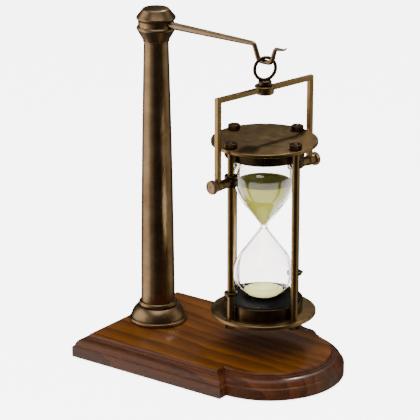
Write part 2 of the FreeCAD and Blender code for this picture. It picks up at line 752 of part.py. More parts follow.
def make_plate(name, low):
    """A round plate with four rod holes and softened rims."""
    c = cell
    body = turned(name, ring_section(as_size(0.0), c.plate_radius, as_size(0.0),
                                     c.plate_thickness, c.plate_edge))
    hole_sketch = new_sketch(body, "XY_Plane", name + "_hole")
    draw_circle(hole_sketch, c.rod_circle, 0.0, c.rod_thread_radius + c.thread_fit)
    pocket = body.newObject("PartDesign::Pocket", name + "_pocket")
    pocket.Profile = hole_sketch
    pocket.Midplane = True
    pocket.Type = "ThroughAll"
    body.Tip = pocket
    doc.recompute()
    pattern = body.newObject("PartDesign::PolarPattern", name + "_pattern")
    pattern.Originals = [pocket]
    pattern.Axis = (hole_sketch, ["N_Axis"])
    pattern.Angle = 360
    pattern.Occurrences = 4
    body.Tip = pattern
    doc.recompute()
    place(body, x=c.hang_place, z=low, turn=c.bail_turn)
    return body


def make_cage_frame():
    c = cell
    half = c.cage_inner_height / 2
    floor_level = c.cage_middle - half
    ceiling = c.cage_middle + half
    keep(make_plate("lower_plate", floor_level - c.plate_thickness), "bottom_plate")
    keep(make_plate("upper_plate", ceiling), "top_plate")
    rod_sides = [("pivot_rod_" + s, a) for s, a in PIVOT_SIDES]
    rod_sides += [("plain_rod_" + s, a) for s, a in PLAIN_SIDES]
    reach = c.plate_thickness + c.nut_height - c.nut_dimple
    for name, extra in rod_sides:
        x, y = around(c.bail_turn + extra, c.rod_circle)
        rod = turned(name + "_section", [
            (0.0, -half - reach), (c.rod_thread_radius, -half - reach),
            (c.rod_thread_radius, -half), (c.rod_radius, -half),
            (c.rod_radius, half), (c.rod_thread_radius, half),
            (c.rod_thread_radius, half + reach), (0.0, half + reach)])
        place(rod, x=x, y=y, z=c.cage_middle)
        keep(rod, name)
    for name, level in (("top_nuts", ceiling + c.plate_thickness),
                        ("bottom_nuts", floor_level - c.plate_thickness - c.nut_height)):
        nuts = []
        for side, extra in PIVOT_SIDES + PLAIN_SIDES:
            x, y = around(c.bail_turn + extra, c.rod_circle)
            nut = turned(name + "_" + side, ring_section(
                c.rod_thread_radius, c.nut_radius, as_size(0.0), c.nut_height, c.nut_chamfer))
            place(nut, x=x, y=y, z=level)
            nuts.append(nut)
        group = doc.addObject("Part::Compound", name + "_group")
        group.Links = nuts
        keep(group, name)


def make_cups():
    c = cell
    half = c.cage_inner_height / 2
    inner = c.cup_radius - c.cup_wall
    crown = crown_radius()
    for name, flip in (("bottom", 0.0), ("top", 180.0)):
        cup = turned(name + "_cup_section", [
            (0.0, -half), (c.cup_radius, -half),
            (c.cup_radius, c.cup_height - half - c.cup_edge),
            (c.cup_radius - c.cup_edge, c.cup_height - half),
            (inner, c.cup_height - half),
            (inner, c.cup_floor - half), (0.0, c.cup_floor - half)])
        place(cup, x=c.hang_place, z=c.cage_middle, turn=as_size(flip), axis=(1, 0, 0))
        keep(cup, name + "_cup")
        face = c.cup_height + c.pad_proud - half
        dish_depth = face + c.bulb_end
        dish = root(crown * crown - (crown - dish_depth) * (crown - dish_depth))
        pad_radius = inner - c.pad_fit
        pad = turned(name + "_pad_section", [
            (0.0, c.cup_floor - half), (pad_radius, c.cup_floor - half),
            (pad_radius, face), (dish, face),
            (0.0, -c.bulb_end, crown, 1)])
        place(pad, x=c.hang_place, z=c.cage_middle, turn=as_size(flip), axis=(1, 0, 0))
        keep(pad, name + "_pad")


def make_stops():
    c = cell
    bore = c.rod_radius + c.stop_fit
    upper = c.pivot_level + c.slider_half_height
    lower = c.cage_middle - c.cage_inner_height / 2 + c.lower_stop_rise - c.stop_height / 2
    screws = []
    for level_name, level in (("upper", upper), ("lower", lower)):
        for side, extra in PIVOT_SIDES:
            angle = c.bail_turn + extra
            x, y = around(angle, c.rod_circle)
            name = level_name + "_stop_" + side
            ring = turned(name + "_section", ring_section(
                bore, c.stop_radius, as_size(0.0), c.stop_height, c.stop_chamfer))
            place(ring, x=x, y=y, z=level)
            hole = cylinder(name + "_tap", c.screw_radius, c.stop_radius * 2)
            tapped = cut(name + "_cut", ring, hole)
            screw_turn = angle + c.screw_turn * (1 if side == "left" else -1)
            lay_along(hole, x, y, level + c.stop_height / 2, screw_turn)
            keep(tapped, name)
            screw = cylinder(name + "_screw", c.screw_radius,
                             c.stop_radius + c.screw_reach - bore)
            step_x = cosine(screw_turn) * bore
            step_y = sine(screw_turn) * bore
            lay_along(screw, x + step_x, y + step_y, level + c.stop_height / 2, screw_turn)
            screws.append(screw)
    group = doc.addObject("Part::Compound", "stop_screw_group")
    group.Links = screws
    keep(group, "stop_set_screws")


# ---- glass and sand --------------------------------------------------------------

def crown_radius():
    """Radius of the nearly flat end of a bulb, tangent to its rounded corner."""
    c = cell
    depth = c.bulb_end - c.bulb_offset
    side = c.bulb_radius - c.bulb_corner
    return (side * side + depth * depth - c.bulb_corner * c.bulb_corner) \
        / ((depth - c.bulb_corner) * 2)


def bulb_section(wall, waist):
    """Points of one bulb from the waist to its end, for a wall moved in by wall."""
    c = cell
    radius = c.bulb_radius - wall
    shoulder = c.shoulder_radius - wall
    corner = c.bulb_corner - wall
    crown = crown_radius() - wall
    shoulder_x = radius - shoulder
    # the cone is tangent to the shoulder and to a small arc round the waist
    waist_arc = c.waist_arc
    waist_x = waist + waist_arc
    run_x = waist_x - shoulder_x
    run_z = c.bulb_offset
    span = root(run_x * run_x + run_z * run_z)
    both = waist_arc + shoulder
    lean = Size(
        math.degrees(math.atan2(run_z.value, run_x.value)
                     - math.acos(both.value / span.value)),
        "(atan2(" + run_z.text + "; " + run_x.text + ") - acos(" + both.text + " / "
        + span.text + "))")
    waist_end = (waist_x - waist_arc * cosine(lean), waist_arc * sine(lean))
    shoulder_start = (shoulder_x + shoulder * cosine(lean),
                      c.bulb_offset - shoulder * sine(lean))
    # the corner arc hands over to the crown where both have the same normal
    corner_x = radius - corner
    drop = crown - (c.bulb_end - wall - c.bulb_offset)
    reach = crown / (crown - corner)
    hand_over = (corner_x * reach, c.bulb_offset - drop + drop * reach)
    return waist_end, shoulder_start, radius, corner, crown, hand_over


def wall_points(wall, waist):
    """Corners of one bulb's wall from the waist plane up to its end on the axis."""
    c = cell
    waist_end, start, radius, corner, crown, hand = bulb_section(wall, waist)
    return [
        (waist, 0.0),
        (waist_end[0], waist_end[1], c.waist_arc, 1),
        start,
        (radius, c.bulb_offset, c.shoulder_radius - wall, -1),
        (hand[0], hand[1], corner, -1),
        (0.0, c.bulb_end - wall, crown, -1),
    ]


def backwards(points):
    """The same outline walked from its end to its start, with its arcs turned over."""
    walked = [points[-1][:2]]
    for before, point in zip(points[-2::-1], points[:0:-1]):
        if len(point) == 4:
            walked.append((before[0], before[1], point[2], -point[3]))
        else:
            walked.append(before[:2])
    return walked


def make_glass():
    """Two blown bulbs, fused where their waists meet."""
    c = cell
    outline = wall_points(as_size(0.0), c.waist_radius)
    outline += backwards(wall_points(c.glass_wall, c.orifice_radius))
    for name, flip in (("upper", 0.0), ("lower", 180.0)):
        bulb = turned("glass_section_" + name, outline)
        place(bulb, x=c.hang_place, z=c.cage_middle, turn=as_size(flip), axis=(1, 0, 0))
        keep(bulb, "glass_bulb_" + name)


def make_sand():
    """Sand lies against the glass below a crater, and in a low heap under it."""
    c = cell
    gap = c.glass_wall + c.sand_gap
    waist = c.orifice_radius - c.sand_gap
    waist_end, start, radius, _, crown, _ = bulb_section(gap, waist)
    shoulder = c.shoulder_radius - gap
    shoulder_x = radius - shoulder
    upper_level = c.bulb_offset - c.upper_sand_drop
    fall = c.upper_sand_drop
    edge = shoulder_x + root(shoulder * shoulder - fall * fall)
    upper = turned("upper_sand_section", [
        (0.0, waist_end[1]),
        waist_end,
        start,
        (edge, upper_level, shoulder, -1),
        (0.0, upper_level - c.upper_sand_crater)])
    place(upper, x=c.hang_place, z=c.cage_middle)
    keep(upper, "upper_sand")
    # the heap's rim lies on the nearly flat end of the bulb
    deepest = c.bulb_end - gap
    level = deepest - c.lower_sand_depth
    to_centre = crown - c.lower_sand_depth
    rim = root(crown * crown - to_centre * to_centre)
    lower = turned("lower_sand_section", [
        (0.0, -deepest),
        (rim, -level, crown, -1),
        (0.0, -(level - c.lower_sand_cone))])
    place(lower, x=c.hang_place, z=c.cage_middle)
    keep(lower, "lower_sand")


def check_and_write():
    doc.recompute()
    faults = []
    for item in doc.Objects:
        if "Invalid" in item.State or "Error" in item.State:
            faults.append(item.Label + " is in state " + ", ".join(item.State))
    for item in kept:
        if item.Shape.isNull() or not item.Shape.isValid():
            faults.append(item.Label + " has no valid shape")
        elif not item.Shape.Solids:
            faults.append(item.Label + " holds no solid")
    if faults:
        raise SystemExit("\n".join(faults))
    os.makedirs("parts", exist_ok=True)
    for item in kept:
        item.Shape.exportStep("parts/" + item.Label + ".step")
        box_ = item.Shape.BoundBox
        print("%-22s solids %d  volume %10.1f  z %7.2f to %7.2f" % (
            item.Label, len(item.Shape.Solids), item.Shape.Volume, box_.ZMin, box_.ZMax))


make_base()
make_felt()
rod_top = make_column()
make_tie_rod(rod_top)
make_arm()
make_swivel()
make_bail()
make_pivots()
make_cage_frame()
make_cups()
make_stops()
make_glass()
make_sand()
check_and_write()
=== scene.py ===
# %% [markdown]
# # A hanging hourglass
# A sand glass stands in a round bronze cage. The cage hangs in a square-bar bail, the bail hangs
# from a ring, and the ring hangs on a hook at the end of a tapered arm. The arm leaves the top of
# a turned column on a moulded wooden base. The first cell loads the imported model, which says
# where everything is and which body each piece moves with.

# %% Load the frame
import math
import bmesh
import bpy
from mathutils import Matrix, Vector, noise


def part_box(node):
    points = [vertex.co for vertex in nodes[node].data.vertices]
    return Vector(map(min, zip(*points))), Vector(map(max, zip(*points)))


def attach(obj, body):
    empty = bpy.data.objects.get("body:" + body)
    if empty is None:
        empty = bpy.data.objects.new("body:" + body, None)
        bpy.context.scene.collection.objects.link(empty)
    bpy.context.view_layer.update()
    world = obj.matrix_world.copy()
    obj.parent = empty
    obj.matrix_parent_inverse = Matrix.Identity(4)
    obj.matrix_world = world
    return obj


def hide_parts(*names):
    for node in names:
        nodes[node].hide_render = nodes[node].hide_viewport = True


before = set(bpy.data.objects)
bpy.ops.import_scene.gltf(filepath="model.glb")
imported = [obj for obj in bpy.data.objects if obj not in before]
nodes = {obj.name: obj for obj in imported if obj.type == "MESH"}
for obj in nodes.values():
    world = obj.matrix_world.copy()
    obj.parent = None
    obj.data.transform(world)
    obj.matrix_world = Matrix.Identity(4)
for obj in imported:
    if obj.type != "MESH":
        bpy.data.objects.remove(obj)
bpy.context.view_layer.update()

MM = 0.001

# %% [markdown]
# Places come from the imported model. The box of a node gives the axis of a turned piece: the
# column's axis, the line that the cage hangs from, and the middle of the glass. Two rods of the
# cage stand under the bail, so the line through them is the bail's direction.

# %% Places
def middle(node):
    low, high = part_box(node)
    return (low + high) / 2


def linked(name, data):
    """A new object with this data, in the scene."""
    made = bpy.data.objects.new(name, data)
    bpy.context.scene.collection.objects.link(made)
    return made


column = middle("column_shaft")
hang = middle("top_plate")
glass_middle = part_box("glass_bulb_upper")[0].z
toward_right = (middle("pivot_rod_right") - middle("pivot_rod_left")).normalized()
bail_angle = math.atan2(toward_right.y, toward_right.x)
rod_circle = (middle("pivot_rod_right") - middle("pivot_rod_left")).length / 2
print("column at x %.1f mm, hanging line at x %.1f mm, bail at %.1f degrees"
      % (column.x / MM, hang.x / MM, math.degrees(bail_angle)))

# %% [markdown]
# ## The camera
# A long lens from well back keeps the column's sides almost parallel. Location and aim are given
# in the object's own frame, and the camera is turned so that its -Z axis points at the aim.

# %% Camera
CAMERA_TURN = math.radians(36.2)
CAMERA_RISE = math.radians(19.04)
CAMERA_DISTANCE = 2.280
CAMERA_AIM = Vector((-0.018, 0.0, 0.1487))
FOCAL_SHARE = 2420 / 420        # focal length over the frame's width

back = Vector((math.sin(CAMERA_TURN) * math.cos(CAMERA_RISE),
               -math.cos(CAMERA_TURN) * math.cos(CAMERA_RISE),
               math.sin(CAMERA_RISE)))
camera_data = bpy.data.cameras.new("camera")
camera_data.sensor_width = 36.0
camera_data.lens = 36.0 * FOCAL_SHARE
camera = linked("camera", camera_data)
camera.location = CAMERA_AIM + back * CAMERA_DISTANCE
camera.rotation_euler = (-back).to_track_quat("-Z", "Y").to_euler()
camera_data.clip_end = 20.0        # metres
bpy.context.scene.camera = camera

# %% [markdown]
# ## Shader groups
# Effects that several finishes share are node groups. Each is built once, with named inputs, and
# placed in a material with that material's own values. A small helper makes nodes and links in
# one line, so that a tree reads from left to right like the finish it makes.

# %% Node helpers
FLOAT, INT, COLOUR, VECTOR, MATERIAL, GEOMETRY = (
    "NodeSocket" + kind for kind in ("Float", "Int", "Color", "Vector", "Material", "Geometry"))


class Tree:
    """Adds nodes to a tree. Each input gets a value, or the output that feeds it."""

    def __init__(self, tree):
        self.tree = tree

    def link(self, output, socket):
        self.tree.links.new(output, socket)

    def give(self, node, inputs):
        for name, value in inputs.items():
            if isinstance(value, bpy.types.NodeSocket):
                self.link(value, node.inputs[name])
            else:
                node.inputs[name].default_value = value

    def node(self, kind, inputs=None, **settings):
        made = self.tree.nodes.new(kind)
        for name, value in settings.items():
            setattr(made, name, value)
        self.give(made, inputs or {})
        return made

    def math(self, operation, a, b=0.0, clamp=False):
        return self.node("ShaderNodeMath", {0: a, 1: b}, operation=operation,
                         use_clamp=clamp).outputs[0]

    def vector(self, operation, inputs):
        return self.node("ShaderNodeVectorMath", inputs, operation=operation).outputs[0]

    def noise(self, vector, scale, detail, roughness=0.5):
        return self.node("ShaderNodeTexNoise", {
            "Vector": vector, "Scale": scale, "Detail": detail, "Roughness": roughness}).outputs

    def bump(self, strength, distance, height):
        return self.node("ShaderNodeBump", {"Strength": strength, "Distance": distance,
                                            "Height": height}).outputs[0]

    def here(self):
        """The place on the object that is being shaded."""
        return self.node("ShaderNodeTexCoord").outputs["Object"]

    def ramp(self, factor, stops):
        """A colour between two stops, each a position and a colour."""
        made = self.node("ShaderNodeValToRGB", {0: factor})
        for element, (position, colour) in zip(made.color_ramp.elements, stops):
            element.position, element.color = position, (*colour, 1.0)
        return made.outputs[0]

    def mix(self, factor, a, b):
        return self.node("ShaderNodeMix", {0: factor, 6: a, 7: b}, data_type="RGBA").outputs[2]


def new_tree(kind, name, inputs, outputs):
    """A tree with (name, kind, value) inputs and (name, kind) outputs."""
    tree = bpy.data.node_groups.new(name, kind)
    for label, socket_kind, value in inputs:
        socket = tree.interface.new_socket(label, in_out="INPUT", socket_type=socket_kind)
        if value is not None:
            socket.default_value = value
    for label, socket_kind in outputs:
        tree.interface.new_socket(label, in_out="OUTPUT", socket_type=socket_kind)
    t = Tree(tree)
    return tree, t, t.node("NodeGroupInput").outputs, t.node("NodeGroupOutput").inputs


def new_material(name):
    """A material, its tree and its Principled shader."""
    material = bpy.data.materials.new(name)
    material.use_nodes = True
    return material, Tree(material.node_tree), material.node_tree.nodes["Principled BSDF"]

# %% [markdown]
# Old bronze plating is never one colour. Polishing leaves it lighter on the high spots, the brown
# lacquer pools darker elsewhere, and rubbed edges show yellow metal. The first group gives those
# three things from two sizes of noise and from the mesh's own pointiness, which is high on an
# outer edge. Streaks run along one axis, as they do on a piece that was turned or drawn.

# %% Group: patina
patina, t, given, result = new_tree("ShaderNodeTree", "patina", [
    ("Vector", VECTOR, (0, 0, 0)), ("Dark", COLOUR, (0.06, 0.035, 0.02, 1)),
    ("Middle", COLOUR, (0.2, 0.12, 0.06, 1)), ("Bright", COLOUR, (0.45, 0.3, 0.16, 1)),
    ("Cloud Scale", FLOAT, 60.0), ("Streak Scale", FLOAT, 700.0),
    ("Streak Strength", FLOAT, 0.3), ("Edge Wear", FLOAT, 0.6),
], [("Color", COLOUR), ("Roughness Mask", FLOAT), ("Height", FLOAT)])
cloud = t.noise(given["Vector"], given["Cloud Scale"], 6.0, 0.62)["Fac"]
stretched = t.vector("MULTIPLY", {0: given["Vector"], 1: (1.0, 1.0, 0.03)})
streak = t.noise(stretched, given["Streak Scale"], 3.0, 0.55)["Fac"]
speck = t.noise(given["Vector"], 1400.0, 2.0)["Fac"]
streak_part = t.math("MULTIPLY", t.math("SUBTRACT", streak, 0.5), given["Streak Strength"])
tone = t.math("ADD", cloud, streak_part)
body_colour = t.mix(t.math("SUBTRACT", t.math("MULTIPLY", tone, 1.9), 0.45, clamp=True),
                    given["Dark"], given["Middle"])
edge = t.node("ShaderNodeNewGeometry").outputs["Pointiness"]
edge = t.math("MULTIPLY", t.math("SUBTRACT", edge, 0.53), 14.0, clamp=True)
edge = t.math("MULTIPLY", edge, t.math("ADD", t.math("MULTIPLY", cloud, 1.4), -0.1, clamp=True))
edge = t.math("MULTIPLY", edge, given["Edge Wear"], clamp=True)
t.link(t.mix(edge, body_colour, given["Bright"]), result["Color"])
t.link(t.math("ADD", t.math("MULTIPLY", cloud, 0.7), t.math("MULTIPLY", streak, 0.3)),
       result["Roughness Mask"])
t.link(t.math("ADD", t.math("MULTIPLY", streak, 0.5), t.math("MULTIPLY", speck, 0.5)),
       result["Height"])

# %% [markdown]
# Each bronze finish is the same alloy with its own tone and polish, except that the cups' finish
# is darker as painted shade, for the dark that their walls reflect. The Principled shader stays
# in the material. Roughness runs between two values, driven by the group's mask, and a very low
# bump breaks up reflections without looking hammered.

# %% Bronze finishes
BRONZE_BUMP, BRONZE_BUMP_DEPTH = 0.06, 0.0004


def bronze(name, dark, centre, bright, smooth, rough, cloud_scale, wear=0.6):
    material, t, shader = new_material(name)
    group = t.node("ShaderNodeGroup", {
        "Vector": t.here(), "Dark": (*dark, 1.0), "Middle": (*centre, 1.0),
        "Bright": (*bright, 1.0), "Cloud Scale": cloud_scale, "Edge Wear": wear},
        node_tree=patina).outputs
    spread = t.math("MULTIPLY", group["Roughness Mask"], rough - smooth)
    t.give(shader, {"Base Color": group["Color"], "Roughness": t.math("ADD", spread, smooth),
                    "Normal": t.bump(BRONZE_BUMP, BRONZE_BUMP_DEPTH, group["Height"]),
                    "Metallic": 1.0})
    return material


bronze_column = bronze("bronze_column", (0.13, 0.075, 0.035), (0.36, 0.25, 0.14),
                       (0.55, 0.40, 0.24), 0.24, 0.42, cloud_scale=34.0)
bronze_cage = bronze("bronze_cage", (0.20, 0.125, 0.05), (0.34, 0.22, 0.10),
                     (0.6, 0.43, 0.2), 0.26, 0.44, cloud_scale=110.0)
bronze_arm = bronze("bronze_arm", (0.19, 0.125, 0.07), (0.33, 0.23, 0.14),
                    (0.6, 0.45, 0.28), 0.26, 0.44, cloud_scale=140.0, wear=0.8)
bronze_dark = bronze("bronze_dark", (0.05, 0.032, 0.02), (0.14, 0.09, 0.05),
                     (0.45, 0.31, 0.16), 0.22, 0.44, cloud_scale=180.0, wear=0.9)
# The cups' bronze: the same alloy given darker colours as painted shade, for the dark their walls
# reflect.
bronze_cup_painted_shade = bronze("bronze_cup_painted_shade", (0.06, 0.036, 0.02), (0.16, 0.10, 0.05),
                      (0.45, 0.31, 0.16), 0.24, 0.42, cloud_scale=110.0)
steel_plain = bronze("steel_plain", (0.25, 0.24, 0.22), (0.46, 0.44, 0.41),
                     (0.7, 0.68, 0.64), 0.3, 0.5, cloud_scale=200.0)

# %% [markdown]
# ## Wood
# The base is one board with its grain along X. Growth rings seen on a flat-sawn face are long
# stretched bands, so the ring pattern is a wave texture on coordinates that are squeezed along
# the grain and bent by noise. Fine pores are a second noise, squeezed much harder. The moulded
# edge has a separate finish with the same group, darker and redder than the top.

# %% Group: wood grain
wood, t, given, result = new_tree("ShaderNodeTree", "wood_grain", [
    ("Vector", VECTOR, (0, 0, 0)), ("Light", COLOUR, (0.3, 0.12, 0.03, 1)),
    ("Dark", COLOUR, (0.06, 0.02, 0.008, 1)), ("Figure Scale", FLOAT, 26.0),
    ("Figure Strength", FLOAT, 0.6), ("Pore Strength", FLOAT, 0.5),
], [("Color", COLOUR), ("Gloss Mask", FLOAT), ("Height", FLOAT)])
along = t.vector("MULTIPLY", {0: given["Vector"], 1: (0.16, 1.0, 1.0)})
wander = t.noise(along, 16.0, 3.0)["Color"]
wander = t.vector("SUBTRACT", {0: wander, 1: (0.5, 0.5, 0.5)})
wander = t.vector("SCALE", {0: wander, "Scale": 0.055})
bent = t.vector("ADD", {0: along, 1: wander})
bands = t.node("ShaderNodeTexWave", {
    "Vector": bent, "Scale": given["Figure Scale"], "Distortion": 3.2, "Detail": 3.0,
    "Detail Scale": 1.6, "Detail Roughness": 0.6}, wave_type="BANDS",
    bands_direction="Y", wave_profile="SAW").outputs["Fac"]
fine = t.vector("MULTIPLY", {0: given["Vector"], 1: (0.05, 1.0, 1.0)})
pores = t.noise(fine, 1500.0, 4.0, 0.7)["Fac"]
pores = t.math("MULTIPLY", t.math("SUBTRACT", pores, 0.42), 4.0, clamp=True)
broad = t.noise(along, 34.0, 5.0, 0.65)["Fac"]
figure = t.math("MULTIPLY", t.math("MULTIPLY", bands, broad), given["Figure Strength"])
shade = t.math("SUBTRACT", t.math("MULTIPLY", broad, 1.5), figure)
shade = t.math("ADD", shade, t.math("MULTIPLY", t.math("SUBTRACT", pores, 1.0),
                                    given["Pore Strength"]), clamp=True)
t.link(t.mix(shade, given["Dark"], given["Light"]), result["Color"])
t.link(broad, result["Gloss Mask"])
t.link(pores, result["Height"])


# %% Wood finishes
GRAIN_TURN = 0.06       # radians that the grain leans from the board's length


def varnished_wood(name, light, dark, figure, pores, scale):
    material, t, shader = new_material(name)
    turned_place = t.node("ShaderNodeMapping", {"Vector": t.here(),
                                                "Rotation": (0, 0, GRAIN_TURN)}).outputs[0]
    group = t.node("ShaderNodeGroup", {
        "Vector": turned_place, "Light": (*light, 1.0), "Dark": (*dark, 1.0),
        "Figure Scale": scale, "Figure Strength": figure, "Pore Strength": pores},
        node_tree=wood).outputs
    rough = t.math("ADD", t.math("MULTIPLY", group["Gloss Mask"], 0.25), 0.25)
    t.give(shader, {"Base Color": group["Color"], "Roughness": rough,
                    "Normal": t.bump(0.12, 0.0005, group["Height"]),
                    "Specular IOR Level": 0.25, "Coat Weight": 0.25, "Coat Roughness": 0.12})
    return material


wood_top = varnished_wood("wood_top", (0.30, 0.095, 0.004), (0.055, 0.014, 0.001), 0.85, 0.35,
                          19.0)
wood_edge = varnished_wood("wood_edge", (0.15, 0.042, 0.010), (0.020, 0.005, 0.002), 0.6, 0.4,
                           22.0)

# %% [markdown]
# ## Glass, sand, pads and felt
# Clear glass is a Principled shader with full transmission. Light Path swaps it for a plain
# see-through shader on shadow rays, because otherwise the sand inside would sit in the dark.
# The tint and the slight waviness of blown glass come from noise.

# %% Glass finish
def blown_glass(name):
    material, t, shader = new_material(name)
    where = t.here()
    tint = t.noise(where, 30.0, 2.0)["Fac"]
    wave = t.noise(where, 55.0, 1.0)["Fac"]
    t.give(shader, {"Transmission Weight": 1.0, "Metallic": 0.0, "IOR": 1.46,
                    "Base Color": t.ramp(tint, [(0.3, (1.0, 0.975, 0.965)),
                                                (0.7, (0.99, 0.96, 0.945))]),
                    "Roughness": t.math("MULTIPLY", wave, 0.02),
                    "Normal": t.bump(0.05, 0.0008, wave)})
    clear = t.node("ShaderNodeBsdfTransparent", {"Color": (0.94, 0.93, 0.92, 1.0)})
    path = t.node("ShaderNodeLightPath")
    blend = t.node("ShaderNodeMixShader", {0: path.outputs["Is Shadow Ray"],
                                           1: shader.outputs[0], 2: clear.outputs[0]})
    t.link(blend.outputs[0], material.node_tree.nodes["Material Output"].inputs[0])
    return material


# %% Sand, pad and felt finishes
def grainy(name, low, high, grain, rough, bump, distance, sheen=0.0):
    """A matte finish made of grains: colour, roughness and height all vary by grain."""
    material, t, shader = new_material(name)
    where = t.here()
    grains = t.node("ShaderNodeTexVoronoi", {"Vector": where, "Scale": grain}).outputs
    clouds = t.noise(where, 40.0, 5.0, 0.6)["Fac"]
    each = t.node("ShaderNodeSeparateColor", {0: grains["Color"]}).outputs[0]
    tone = t.math("ADD", t.math("MULTIPLY", each, 0.55),
                  t.math("MULTIPLY", clouds, 0.6), clamp=True)
    t.give(shader, {"Base Color": t.ramp(tone, [(0.2, low), (0.85, high)]),
                    "Roughness": t.math("ADD", t.math("MULTIPLY", each, 0.12), rough),
                    "Normal": t.bump(bump, distance, grains["Distance"]),
                    "Sheen Weight": sheen, "Specular IOR Level": 0.08})
    return material


glass_clear = blown_glass("glass_clear")
# The upper sand is the same sand as the lower; its darker, more olive colours are painted shade.
sand_upper_painted_shade = grainy("sand_upper_painted_shade", (0.20, 0.21, 0.02), (0.34, 0.34, 0.05), 3800.0, 0.85, 0.5,
                    0.0003)
sand_lower = grainy("sand_lower", (0.78, 0.82, 0.27), (0.95, 0.97, 0.42), 3800.0, 0.85, 0.5,
                    0.0003)
pad_black = grainy("pad_black", (0.002, 0.002, 0.002), (0.007, 0.0065, 0.006), 2600.0, 0.7, 0.4,
                   0.0002)
felt_green = grainy("felt_green", (0.008, 0.022, 0.012), (0.03, 0.06, 0.035), 1900.0, 0.9, 0.8,
                    0.0005, sheen=0.3)

# %% [markdown]
# ## Mesh helpers
# Most of this object was made on a lathe, so most pieces are half a section spun about an axis.
# A section is a list of (radius, height) corners in millimetres. A corner with a third and a
# fourth number ends an arc of that radius, bulging to one side. Corners are then softened with a
# small round, because a real edge is never knife sharp and the round is what catches the light.

# %% Sections
def arc_points(start, end, radius, side, degrees=7.0):
    """Points after start, up to end, along an arc that bulges left (+1) or right (-1)."""
    chord = end - start
    half = chord.length / 2
    rise = math.sqrt(max(radius * radius - half * half, 0.0))
    centre = (start + end) / 2 + Vector((chord.y, -chord.x)).normalized() * (rise * side)
    first, last = start - centre, end - centre
    turn = last.angle_signed(first)
    count = max(2, math.ceil(abs(math.degrees(turn)) / degrees))
    points = []
    for i in range(1, count + 1):
        angle = turn * i / count
        points.append(centre + Matrix.Rotation(angle, 2) @ first)
    return points


def section(corners, degrees=7.0):
    """The corners of a section with its arcs divided, as 2D vectors in millimetres."""
    points = [Vector(corners[0][:2])]
    for corner in corners[1:]:
        end = Vector(corner[:2])
        if len(corner) == 4:
            points += arc_points(points[-1], end, corner[2], corner[3], degrees)
        else:
            points.append(end)
    return points


NEARLY_STRAIGHT = math.radians(77.5)     # half the angle at a corner left as it is


def soften(points, radius, loop=False, steps=3):
    """Rounds every corner sharper than 25 degrees, where both sides are long enough."""
    softened = []
    for i, point in enumerate(points):
        ends = i in (0, len(points) - 1)
        before = points[i - 1] - point
        after = points[(i + 1) % len(points)] - point
        if (ends and not loop) or before.length < 1e-6 or after.length < 1e-6:
            softened.append(point)
            continue
        half = before.angle(after) / 2
        if half > NEARLY_STRAIGHT:
            softened.append(point)
            continue
        reach = min(radius / math.tan(half), before.length * 0.45, after.length * 0.45)
        enter = point + before.normalized() * reach
        leave = point + after.normalized() * reach
        for k in range(steps + 1):
            share = k / steps
            softened.append(enter.lerp(point, share).lerp(point.lerp(leave, share), share))
    return softened


# %% From section to mesh
def mesh_object(name, vertices, faces, sharp_degrees=32.0):
    mesh = bpy.data.meshes.new(name)
    mesh.from_pydata(vertices, [], faces)
    mesh.validate()
    mesh.shade_smooth()
    mesh.set_sharp_from_angle(angle=math.radians(sharp_degrees))
    return linked(name, mesh)


def lathe(name, points, steps=96, loop=False, flip=False):
    """Spins a section given in millimetres about Z; ends on the axis close to a pole."""
    vertices, rings, faces = [], [], []
    for point in points:
        if abs(point.x) < 1e-6:
            rings.append([len(vertices)])
            vertices.append((0.0, 0.0, point.y * MM))
            continue
        rings.append(list(range(len(vertices), len(vertices) + steps)))
        for k in range(steps):
            angle = math.tau * k / steps
            vertices.append((point.x * MM * math.cos(angle), point.x * MM * math.sin(angle),
                             point.y * MM))
    pairs = list(zip(rings, rings[1:]))
    if loop:
        pairs.append((rings[-1], rings[0]))
    for low, high in pairs:
        for k in range(steps):
            after = (k + 1) % steps
            face = [low[k % len(low)], low[after % len(low)],
                    high[after % len(high)], high[k % len(high)]]
            face = list(dict.fromkeys(face))
            if len(face) > 2:
                faces.append(face[::-1] if flip else face)
    return mesh_object(name, vertices, faces)


def turned(name, corners, edge, steps, loop=False, degrees=7.0):
    """Spins a section given by its corners, with its edges rounded by this much."""
    return lathe(name, soften(section(corners, degrees), edge, loop=loop), steps, loop=loop)


def cylinder(radius, low, high, steps):
    """A plain round bar about Z, for boring a hole or for a pin."""
    return lathe("bar", section([(0, low), (radius, low), (radius, high), (0, high)]), steps)


def move(piece, matrix):
    """Puts a piece in place by moving its vertices, so its object stays at the origin."""
    piece.data.transform(matrix)
    piece.data.update()
    return piece


def at(x, y, z):
    return Matrix.Translation((x, y, z))


def about_z(angle):
    return Matrix.Rotation(angle, 4, "Z")


def facing(angle):
    """Turns a piece's Z axis to point level, outwards at this angle."""
    return about_z(angle) @ Matrix.Rotation(math.pi / 2, 4, "Y")


# %% [markdown]
# Pieces that were joined or bored in the workshop use the Boolean modifier. The result is read
# from the evaluated object and becomes the piece's own mesh, so no modifier is left behind.

# %% Joining and boring
def settle(piece):
    """Replaces a piece's mesh with what its modifiers make, and removes them."""
    graph = bpy.context.evaluated_depsgraph_get()
    made = bpy.data.meshes.new_from_object(piece.evaluated_get(graph))
    piece.modifiers.clear()
    old = piece.data
    piece.data = made
    bpy.data.meshes.remove(old)
    return piece


def boolean(piece, others, operation):
    for other in others:
        modifier = piece.modifiers.new("shape", "BOOLEAN")
        modifier.operation = operation
        modifier.solver = "EXACT"
        modifier.object = other
    bpy.context.view_layer.update()
    settle(piece)
    for other in others:
        bpy.data.objects.remove(other)
    piece.data.shade_smooth()
    piece.data.set_sharp_from_angle(angle=math.radians(32.0))
    return piece


def finished(piece, body, replaced, material):
    """Gives a piece its finish and hands it to the frame."""
    piece.data.materials.clear()
    piece.data.materials.append(material)
    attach(piece, body)
    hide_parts(*replaced)
    print("%-20s %6d faces, rides on %s" % (piece.name, len(piece.data.polygons), body))
    return piece


